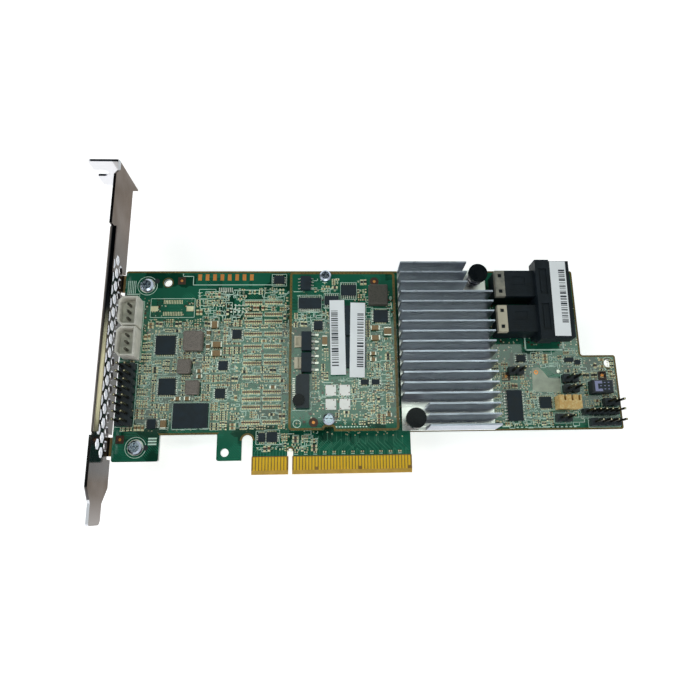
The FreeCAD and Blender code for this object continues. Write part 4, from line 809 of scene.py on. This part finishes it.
def finger_zone():
    """Bare laminate between and just above the gold contacts and on the bevel, on both faces."""
    zone = Pieces("finger_zone", "gold")
    low, high = node_box("edge_contacts_front")
    boxes = solid_boxes("edge_contacts_front")
    before, after = next((a, b) for a, b in zip(boxes, boxes[1:]) if b[0].x - a[1].x > 1)
    skin_faces = [[0, 1, 3, 2], [4, 6, 7, 5], [1, 5, 7, 3], [0, 2, 6, 4], [0, 4, 5, 1], [2, 3, 7, 6]]
    bevel = 0.4
    for x0, x1 in ((low.x - 0.5, before[1].x + 0.5), (after[0].x - 0.5, high.x + 0.5)):
        for z in (FACE, BOARD_LOW.z - INK):
            zone.box(x0, low.y, x1, high.y + 0.25, z, INK, "gap")
        for face, way in ((FACE, -1), (BOARD_LOW.z, 1)):
            slope = [(low.y, face), (BOARD_LOW.y, face + way * bevel)]
            skin = [(x, y, z - way * up) for x in (x0, x1) for y, z in slope for up in (0, INK)]
            zone.add(skin, skin_faces, "laminate")
    zone.finish()


def finger_tracks():
    """Tracks that fan out from the contacts to the parts above."""
    tracks = Pieces("finger_tracks", "solder_mask")
    boxes = solid_boxes("edge_contacts_front")
    top = max(high.y for low, high in boxes) + 0.3
    rng = random.Random(4)
    for number, (low, high) in enumerate(boxes):
        x = (low.x + high.x) / 2
        bend = top + 1.2 + 0.35 * (number % 4)
        run = 2 + 0.5 * (number % 3)
        end = x + (run if x < 20 else -run)
        tracks.line([(x, top), (x, bend), (end, bend + run), (end, bend + run + 2.5)], 0.16, FACE, "track",
                    TRACK)
        if rng.random() < 0.6:
            via(tracks, end, bend + run + 2.6, FACE)
    tracks.finish()


# Corners of the pale copper pour beyond the heatsink, from the heatsink's far side; its pale colour is
# partly a painted sheen.
POUR = ((14.6, 25.8), (24.2, 25.4), (24.6, 30.2), (20.4, 30.4), (17.9, 34.2), (15, 33.8))


def board_features():
    """Screw rings, copper test pads, placing marks, ringed holes and the pale pour, whose paleness is
    partly a painted sheen.
    """
    features = Pieces("board_features", "solder_mask")
    for low, high in solid_boxes("bracket_screws"):
        x, y = (low.x + high.x) / 2, (low.y + high.y) / 2
        features.ring(x, y, 1.6, 2.6, FACE, PAD, "tin")
        features.ring(x, y, 3.2, 3.38, FACE, INK, "ink")
        features.disc(x + 3.1, y + (1.7 if y > 30 else -0.1), 0.9, FACE, 0.03, "dark", 20)
    for i in range(8):
        features.block(LEFT + 25 + i * 2.53, TOP - 2.25, 1.24, 2.3, FACE, PAD, "copper")
    for x, y, across, up, dot in (
            (LEFT + 18.9, TOP - 3.5, 2.6, 2.6, 0.45), (LEFT + 2.3, 11.7, 2.6, 2.6, 0.45),
            (END + 5.8, 31.1, 2.9, 3, 0.55), (RIGHT - 5.3, 31.1, 2.9, 3, 0.55)):
        features.block(x, y, across, up, FACE, INK, "brown")
        features.disc(x, y, dot, FACE, PAD, "copper")
    for x, y, inner, outer, look in ((RIGHT - 2.8, 35.35, 1.75, 2, "olive"),
                                     (RIGHT - 2.8, 35.35, 2, 2.16, "ink"),
                                     (LEFT + 14.3, TOP - 4.2, 1.6, 1.8, "olive")):
        features.ring(x, y, inner, outer, FACE, INK, look)
    features.ring(END + 16.3, 32.4, 0.35, 0.75, FACE, PAD, "copper")
    features.disc(END + 24, 32.7, 0.6, FACE, PAD, "tin")
    features.prism([(END + x, y) for x, y in POUR], FACE, 0.01, "pour")
    features.finish()


# Width and points of printed lines, from the main board's upper left corner to the right and down.
PRINTED_LINES = (
    (0.2, ((19.3, 1), (19.3, 1.9), (22.8, 1.9), (22.8, 5), (54, 5))),
    (INK_WIDTH, ((9, 9.9), (9, 16.6), (23.7, 16.6), (23.7, 9.9), (9, 9.9))),
    (INK_WIDTH, ((25, 6.6), (30.6, 6.6), (30.6, 9.9), (25, 9.9), (25, 6.6))),
    (0.25, ((36.8, 6.9), (54, 6.9))),
    (0.14, ((32, 8.4), (37.8, 8.4), (37.8, 10.4), (53.5, 10.4))),
    (INK_WIDTH, ((5, 8), (5, 10.4))),
    (0.3, ((0.9, 8.3), (4.6, 8.3))),
    (0.5, ((11.5, 57), (13.7, 57))),
    (0.5, ((11.5, 57.9), (13.7, 57.9))),
    (0.5, ((11.5, 58.8), (13.7, 58.8))),
)


def upper_left_print():
    """Printed lines, a fine-pitch connector's bare footprint and blocks of bare pads."""
    lines = Pieces("upper_left_print", "solder_mask")
    for width, points in PRINTED_LINES:
        lines.line([(LEFT + x, TOP - y) for x, y in points], width, FACE)
    for i in range(5):
        x = LEFT + 1 + i * 0.6
        lines.line([(x, TOP - 3.6), (x, TOP - 7.9)], 0.22, FACE)
    for i in range(12):
        for y in (11.1, 15.3):
            lines.block(LEFT + 13.4 + i * 0.55, TOP - y, 0.26, 1.4, FACE, PAD, "solder")
    for x in (10.3, 22.2):
        lines.block(LEFT + x, TOP - 13.5, 2.4, 1.8, FACE, 0.12, "solder", 0.05)
    for i in range(8):
        lines.block(LEFT + 31.8 + i * 0.62, TOP - 6.85, 0.32, 1.7, FACE, PAD, "tin")
    for i in range(5):
        for j in range(3):
            lines.block(LEFT + 36.1 + i * 1.3, TOP - 12.3 - j * 1.2, 0.6, 0.6, FACE, PAD, "tin")
    lines.finish()


# The nodes that stand on the main board's face.
MAIN_NODES = [
    "bracket_screws", "logic_chips", "flash_memory", "leaded_chips", "leaded_chip_leads", "inductors",
    "capacitors", "capacitor_ends", "main_header_base", "end_header_bases", "wire_headers",
    "cream_connector", "socket_block", "port_housing", "port_clips", "end_chips", "standoffs",
    "push_pins", "mezzanine_receptacle",
]

# Heights on the board of the rows of resistor banks.
BANK_ROWS = (16.6, 21.6, 24.2, 26.6, 31.6, 36.3, 38.6, 42, 46.4, 50.6, 53.2, 57.4)

# Zones of small parts and of stray print on the main board, whose x is from LEFT or from END. Each has
# its corners and its seed. Then parts have the share of places filled and, where it isn't the usual one,
# the size of a patch, and print has the number of marks.
LEFT_PARTS = (
    ((6.2, 14.2, 10.8, 52), 11, 0.8, 3.6), ((10.8, 14.2, 40, 52), 12, 0.74),
    ((40, 14.2, 55.5, 57.5), 13, 0.66), ((24, 50, 36, 62), 14, 0.4),
    ((38, 57.5, 55.5, 63), 15, 0.3), ((45.5, 7, 56.3, 13.6), 21, 0.6),
    ((57, 7, 66, 12.4), 22, 0.45), ((2, 14.2, 6, 40), 23, 0.8),
)
END_PARTS = (
    ((1, 14.2, 13.5, 36), 16, 0.6), ((13.5, 14.2, 25, 26), 17, 0.6),
    ((26, 22, 32, 40), 18, 0.6), ((32, 19.5, 44, 37), 19, 0.5),
    ((15, 35.2, 26, 39.4), 20, 0.35),
)
LEFT_PRINT = (
    ((6.5, 14.5, 40, 51), 51, 230), ((40, 14.5, 55.5, 62), 52, 150),
    ((24.5, 50.5, 40, 61.5), 53, 60), ((46, 7, 65.5, 13.5), 54, 40),
)
END_PRINT = (
    ((1, 13.6, 25, 26), 55, 100), ((25, 14.2, 43, 34), 56, 70),
    ((13, 33, 27, 39.5), 57, 22),
)


def board_clutter():
    """The small parts of the main board: banks of resistors and dense patches of chip parts."""
    ground = Ground((LEFT + 0.8, 6.5), (RIGHT - 0.8, TOP - 1), MAIN_NODES)
    for low, high in solid_boxes("bracket_screws"):
        ground.take(*grown(low, high, 1.5))
    parts = Pieces("board_clutter", "lead_tin")
    surrounds = Pieces("board_pads", "lead_tin")
    for low, high in solid_boxes("logic_chips") + solid_boxes("end_chips"):
        if low.y > 5:
            chip_surround(surrounds, ground, low, high, FACE, 0.6)
    for low, high in solid_boxes("inductors") + solid_boxes("capacitors"):
        surrounds.frame(*grown(low, high, 0.55, 0.45), 0.12, FACE)
    for low, high in solid_boxes("flash_memory"):
        surrounds.frame(*grown(low, high, 0.3), 0.2, FACE)
    for y in BANK_ROWS:
        bank(parts, ground, LEFT + 41, y)
        bank(parts, ground, LEFT + 47.8, y + 0.1)
    for zone, *details in LEFT_PARTS:
        populate(parts, ground, moved(zone, LEFT), FACE, *details)
    for zones, corner in ((LEFT_PRINT, LEFT), (END_PRINT, END)):
        for zone, seed, count in zones:
            stray_print(surrounds, moved(zone, corner), FACE, seed, count)
    for i in range(12):
        x = LEFT + 58.6 + i * 3.05
        chip_part(parts, x, 6.9, 0.7, 0.4, 0.3, False, FACE, "rust")
        surrounds.box(x - 0.6, 6.15, x + 0.6, 6.3, FACE, INK, "ink")
    for zone, *details in END_PARTS:
        populate(parts, ground, moved(zone, END), FACE, *details)
    surrounds.finish()
    parts.finish()


def end_print():
    """Printed lines round the ports and headers and along the far end, and the bent tracks there."""
    lines = Pieces("end_print", "solder_mask")
    shoulder, front, side = PORT_LOW.x + 11.2, PORT_HIGH.x - 0.4, PORT_LOW.y
    lines.line([(shoulder, side + 3.4), (shoulder, side - 1.1), (front, side - 1.1), (front, side + 2.2)],
               0.5, FACE)
    for offset in (0, 0.8, 1.6):
        y = 31 + offset * 0.4
        lines.line([(END + 17.5 + offset, 34.2), (END + 20.6 + offset, y), (END + 26.2, y)], 0.28, FACE,
                   "track", TRACK)
    for i in range(14):
        x = END + 8 + i * 1.5
        lines.box(x, 13.75, x + 0.8, 14.05, FACE, INK, "ink")
    for i in range(4):
        lines.frame(END + 26.4, 36 + i * 1.3, END + 30.6, 36.8 + i * 1.3, 0.14, FACE)
    for name in ("end_header_bases", "cream_connector", "socket_block", "main_header_base", "wire_headers"):
        for low, high in solid_boxes(name):
            lines.frame(*grown(low, high, 0.3), INK_WIDTH, FACE)
    lines.finish()


# --- cache module ---
# The nodes that stand on the module's face.
MODULE_NODES = [
    "memory_chips", "module_chips", "module_leaded_chips", "module_chip_leads", "module_inductor",
    "module_capacitors", "module_capacitor_ends", "power_packages", "power_package_leads", "power_tabs",
    "block_connector", "module_screws", "module_labels",
]

# Zones of stray print and of small parts on the module, from its lower left corner, as above.
MODULE_PRINT = (
    ((1.2, 34, 14, 51), 58, 45), ((7, 3, 25, 17), 59, 30), ((24.5, 2, 34, 51), 60, 90),
)
MODULE_PARTS = (
    ((7.4, 13, 13, 41), 31, 0.5, 3), ((25, 2, 34, 40), 32, 0.5, 3.4),
    ((14.5, 1.8, 25, 6.4), 33, 0.55, 3), ((20, 6.4, 26, 17.6), 34, 0.35, 3.4),
    ((1.2, 34, 6, 39.5), 35, 0.7, 3), ((7, 46, 17, 51.5), 36, 0.35, 3.4),
    ((22.4, 43, 26, 51.5), 37, 0.6, 3),
)


def module_details():
    """Leads, pads, solder squares and small parts on the cache module."""
    z = MODULE_FACE
    left, base = MODULE_LOW.x, MODULE_LOW.y
    ground = Ground((left + 0.9, base + 1.2), (MODULE_HIGH.x - 0.9, MODULE_HIGH.y - 1), MODULE_NODES)
    parts = Pieces("module_clutter", "lead_tin")
    pads = Pieces("module_pads", "lead_tin")
    for low, high in solid_boxes("module_leaded_chips"):
        if high.y - low.y <= high.x - low.x:
            bent_leads(pads, low, high, z)
            pads.frame(*grown(low, high, 0.2, 1.2), 0.14, z)
            ground.take(*grown(low, high, 0.3, 1.3))
    for low, high in solid_boxes("module_chips"):
        chip_surround(pads, ground, low, high, z, 0.55)
    square = 3.4
    for x in (left + 11.8, left + 16.3):
        for y in (base + 6.8, base + 11.35):
            pads.box(x, y, x + square, y + square + 0.05, z, 0.15, "white", 0.05)
            ground.take(x - 0.2, y - 0.2, x + square + 0.2, y + square + 0.25)
            for dot_x, dot_y in ((0.3, 0.4), (3.1, 0.9), (2.6, 3.1)):
                pads.disc(x + dot_x, y + dot_y, 0.2, z + 0.15, 0.02, "rust", 8)
    for x, y in ((left + 7.95, base + 2.85), (left + 28.35, base + 50.05)):
        pads.disc(x, y, 1.5, z, INK, "brown")
        pads.disc(x, y, 0.5, z, PAD, "copper")
        ground.take(x - 1.5, y - 1.5, x + 1.5, y + 1.5)
    x, y = left + 2.7, base + 2.5
    pads.ring(x, y, 1.1, 1.28, z, INK, "ink")
    ground.take(x - 1.4, y - 1.4, x + 1.4, y + 1.4)
    low, high = node_box("block_connector")
    for i in range(12):
        y = low.y + 3 + i * 0.6
        pads.box(low.x - 0.8, y, low.x, y + 0.28, z, 0.1, "tin")
    pads.disc(low.x + 1.3, low.y + 2.4, 1.9, high.z - 0.35, 0.41, "pin", 30, 0.1)
    right, under = high.x + 0.6, low.y - 0.5
    pads.line([(low.x - 0.9, under), (right, under), (right, low.y + 2.2)], 0.14, z)
    for i in range(11):
        pads.block(left + 15.25 + i * 0.95, base + 1.35, 0.5, 0.4, z, INK, "ink")
    for i in range(12):
        pads.block(left + 32.1, base + 13.175 + i * 1.1, 1, 0.35, z, PAD, "ceramic")
    for zone, seed, count in MODULE_PRINT:
        stray_print(pads, moved(zone, left, base), z, seed, count)
    for zone, *details in MODULE_PARTS:
        populate(parts, ground, moved(zone, left, base), z, *details)
    pads.finish()
    parts.finish()


# Turn in degrees, near and far side in millimetres, and start and end as shares of each label's length.
BAR_FIELDS = ((0.8, -2, 0.2, 0.11, 0.86), (-1.4, -0.1, 2, 0.13, 0.86), (-0.9, 0.1, 2.2, 0.17, 0.88))


def label_bars():
    """Plain bars on the three bare labels."""
    bars = Pieces("label_bars", "label_white")
    rng = random.Random(5)
    labels = solid_boxes("module_labels") + solid_boxes("port_label")
    for (low, high), (turn, near, far, start, end) in zip(labels, BAR_FIELDS):
        middle = ((low + high) / 2).to_2d()
        length = (high.y - low.y) * 0.985
        rotation = Matrix.Rotation(math.radians(turn), 2)
        y = -length / 2 + length * start
        while y < -length / 2 + length * end:
            thick = rng.choice((0.22, 0.22, 0.4, 0.6))
            corners = ((near, y), (far, y), (far, y + thick), (near, y + thick))
            outline = [tuple(rotation @ Vector(corner) + middle) for corner in corners]
            bars.prism(outline, high.z, 0.015, "bars")
            y += thick + rng.choice((0.25, 0.4, 0.6))
    bars.finish()


# --- connectors ---
def socket_marks():
    """The pale band and small switch faces on the dark block at the far end."""
    marks = Pieces("socket_marks", "connector_dark")
    low, high = node_box("socket_block")
    z = high.z
    for band in ((0.7, 0.4, 1.7, 3.9), (1.7, 3, 3.2, 3.9), (1.7, 0.4, 3.2, 1.2)):
        marks.box(*moved(band, low.x, low.y), z, 0.04, "lavender")
    for i in range(3):
        for j in range(3):
            x, y = low.x + 2.675 + i * 1.35, low.y + 1.14 + j * 1.1
            marks.block(x, y, 0.55, 0.28, z, 0.1, "lavender", 0.03)
    marks.finish()


def port_seams():
    """Fine ribs, parting lines and the two latch plates on the internal ports' housing."""
    seams = Pieces("port_seams", "port_plastic")
    z = PORT_HIGH.z
    latch = PORT_HIGH.x - 10.45
    for low, high in solid_boxes("port_clips"):
        for i in range(5):
            y = low.y + 1.2 + i * 0.75
            seams.box(high.x + 1.4, y, high.x + 8.6, y + 0.3, high.z, 0.06, "port", 0.02)
        seams.box(high.x + 0.05, low.y + 0.2, high.x + 0.25, high.y - 0.2, high.z, 0.05, "port")
        middle = (low.y + high.y) / 2
        seams.block(latch + 1.3, middle, 2.6, 9, z - 1.2, 0.75, "port", 0.1)
        seams.block(latch + 0.85, middle, 0.7, 7.2, z - 0.45, 0.2, "port", 0.05)
    label = node_box("port_label")[0].x
    seams.box(label - 0.6, PORT_LOW.y + 0.8, label - 0.4, PORT_HIGH.y - 0.8, z, 0.05, "port")
    seams.finish()


def pin_tip_highlights():
    """Painted highlights: bright solder-coloured caps on the header pins' tips."""
    tips = Pieces("pin_tip_highlights", "gold")
    for low, high in solid_boxes("main_header_pins") + solid_boxes("end_header_pins"):
        tips.box(*grown(low, high, -0.14), high.z, 0.1, "solder", 0.06)
    tips.finish()


def solder_joints():
    """Shiny solder cones round the pin tails and rings round the board's plated holes, below the board."""
    joints = Pieces("solder_joints", "lead_tin")
    under = BOARD_LOW.z
    for low, high in solid_boxes("solder_tails"):
        x, y = (low.x + high.x) / 2, (low.y + high.y) / 2
        joints.disc(x, y, 0.85, under - 0.06, 0.06, "tin", 16)
        joints.disc(x, y, 0.6, under - 0.45, 0.45, "tin", 12)
    rng = random.Random(8)
    for _ in range(420):
        x = rng.uniform(LEFT + 3, RIGHT - 14)
        y = rng.uniform(15, TOP - 2)
        joints.ring(x, y, 0.1, 0.26, under - INK, INK, "tin", 8)
    joints.finish()


# --- studio ---
def pale_floor():
    """A plain pale floor just under the card, a little bright of itself; its sizes are in metres."""
    half, gap = 3.0, 0.0004
    z = float(cad_box[0][2]) - gap
    mesh = bpy.data.meshes.new("studio_floor")
    mesh.from_pydata([(-half, -half, z), (half, -half, z), (half, half, z), (-half, half, z)], [],
                     [(0, 1, 2, 3)])
    floor = add_object("studio_floor", mesh)
    look = Look("floor", (0.92, 0.92, 0.92), 0.7)
    look.set_value("Emission Color", (1.0, 1.0, 1.0, 1.0))
    look.set_value("Emission Strength", 0.62)
    look.roughness(look.grey(look.noise(0.02), 0.65, 0.75))
    mesh.materials.append(look.material)


# Place, target and size in metres, power in watts and colour of the area lights.
LIGHTS = {
    "overhead": ((0.055, 0.111, 0.4), (0.055, 0.111, 0.0), (0.5, 0.095), 0.37, (0.88, 1.0, 0.90)),
    "left_fill": ((-0.55, -0.1, 0.4), (0.0, 0.04, 0.0), (0.4, 0.4), 1.2, (1.0, 1.0, 1.0)),
    "front_fill": ((0.1, -0.6, 0.35), (0.03, 0.04, 0.0), (0.6, 0.3), 1.0, (1.0, 1.0, 1.0)),
}

# Height of the direction and colour of the surroundings: bright low down, dark overhead.
SURROUNDINGS = ((0.0, (0.9, 0.9, 0.9)), (0.4, (0.9, 0.9, 0.9)), (0.6, (0.35, 0.37, 0.4)),
                (0.8, (0.02, 0.024, 0.03)), (1.0, (0.02, 0.024, 0.03)))


def soft_light(name, place, target, size, power, colour):
    """A rectangular area light that faces its target."""
    light = bpy.data.lights.new(name, "AREA")
    light.shape = "RECTANGLE"
    light.size, light.size_y = size
    light.energy = power
    light.color = colour
    lamp = add_object(name, light)
    lamp.location = place
    lamp.rotation_euler = (Vector(target) - Vector(place)).to_track_quat("-Z", "Y").to_euler()


def studio():
    """A long soft box above the card's middle, side fills and the surroundings."""
    for name, details in LIGHTS.items():
        soft_light(name, *details)
    world = bpy.data.worlds.new("studio")
    bpy.context.scene.world = world
    world.use_nodes = True
    tree = world.node_tree
    background = tree.nodes["Background"]
    direction = tree.nodes.new("ShaderNodeTexCoord").outputs["Generated"]
    split = tree.nodes.new("ShaderNodeSeparateXYZ")
    ramp = tree.nodes.new("ShaderNodeValToRGB")
    set_stops(ramp, SURROUNDINGS)
    tree.links.new(direction, split.inputs["Vector"])
    tree.links.new(split.outputs["Z"], ramp.inputs["Fac"])
    tree.links.new(ramp.outputs["Color"], background.inputs["Color"])
    bpy.context.scene.view_settings.view_transform = "Standard"


# The camera: place in metres, two of its axes, lens and sensor in millimetres, shift in picture widths.
CAMERA_PLACE = (0.0125856, -0.0095211, 0.2156284)
CAMERA_RIGHT = (0.99849, -0.01898, 0.05149)
CAMERA_BACK = (-0.05473, -0.27431, 0.96008)
CAMERA_LENS = 33.62
CAMERA_SENSOR = 36.0
CAMERA_SHIFT = (-0.02084, -0.04666)


def camera():
    """The card seen from above its edge connector, a little rolled."""
    data = bpy.data.cameras.new("camera")
    data.lens = CAMERA_LENS
    data.sensor_width = CAMERA_SENSOR
    data.shift_x, data.shift_y = CAMERA_SHIFT
    data.clip_start, data.clip_end = 0.01, 20.0
    eye = add_object("camera", data)
    back = Vector(CAMERA_BACK).normalized()
    right = Vector(CAMERA_RIGHT).normalized()
    up = back.cross(right)
    eye.matrix_world = Matrix.Translation(CAMERA_PLACE) @ Matrix((right, up, back)).transposed().to_4x4()
    bpy.context.scene.camera = eye


dress_nodes()
board_border()
edge_dots()
finger_zone()
finger_tracks()
board_features()
upper_left_print()
board_clutter()
end_print()
module_details()
label_bars()
socket_marks()
port_seams()
pin_tip_highlights()
solder_joints()
pale_floor()
studio()
camera()
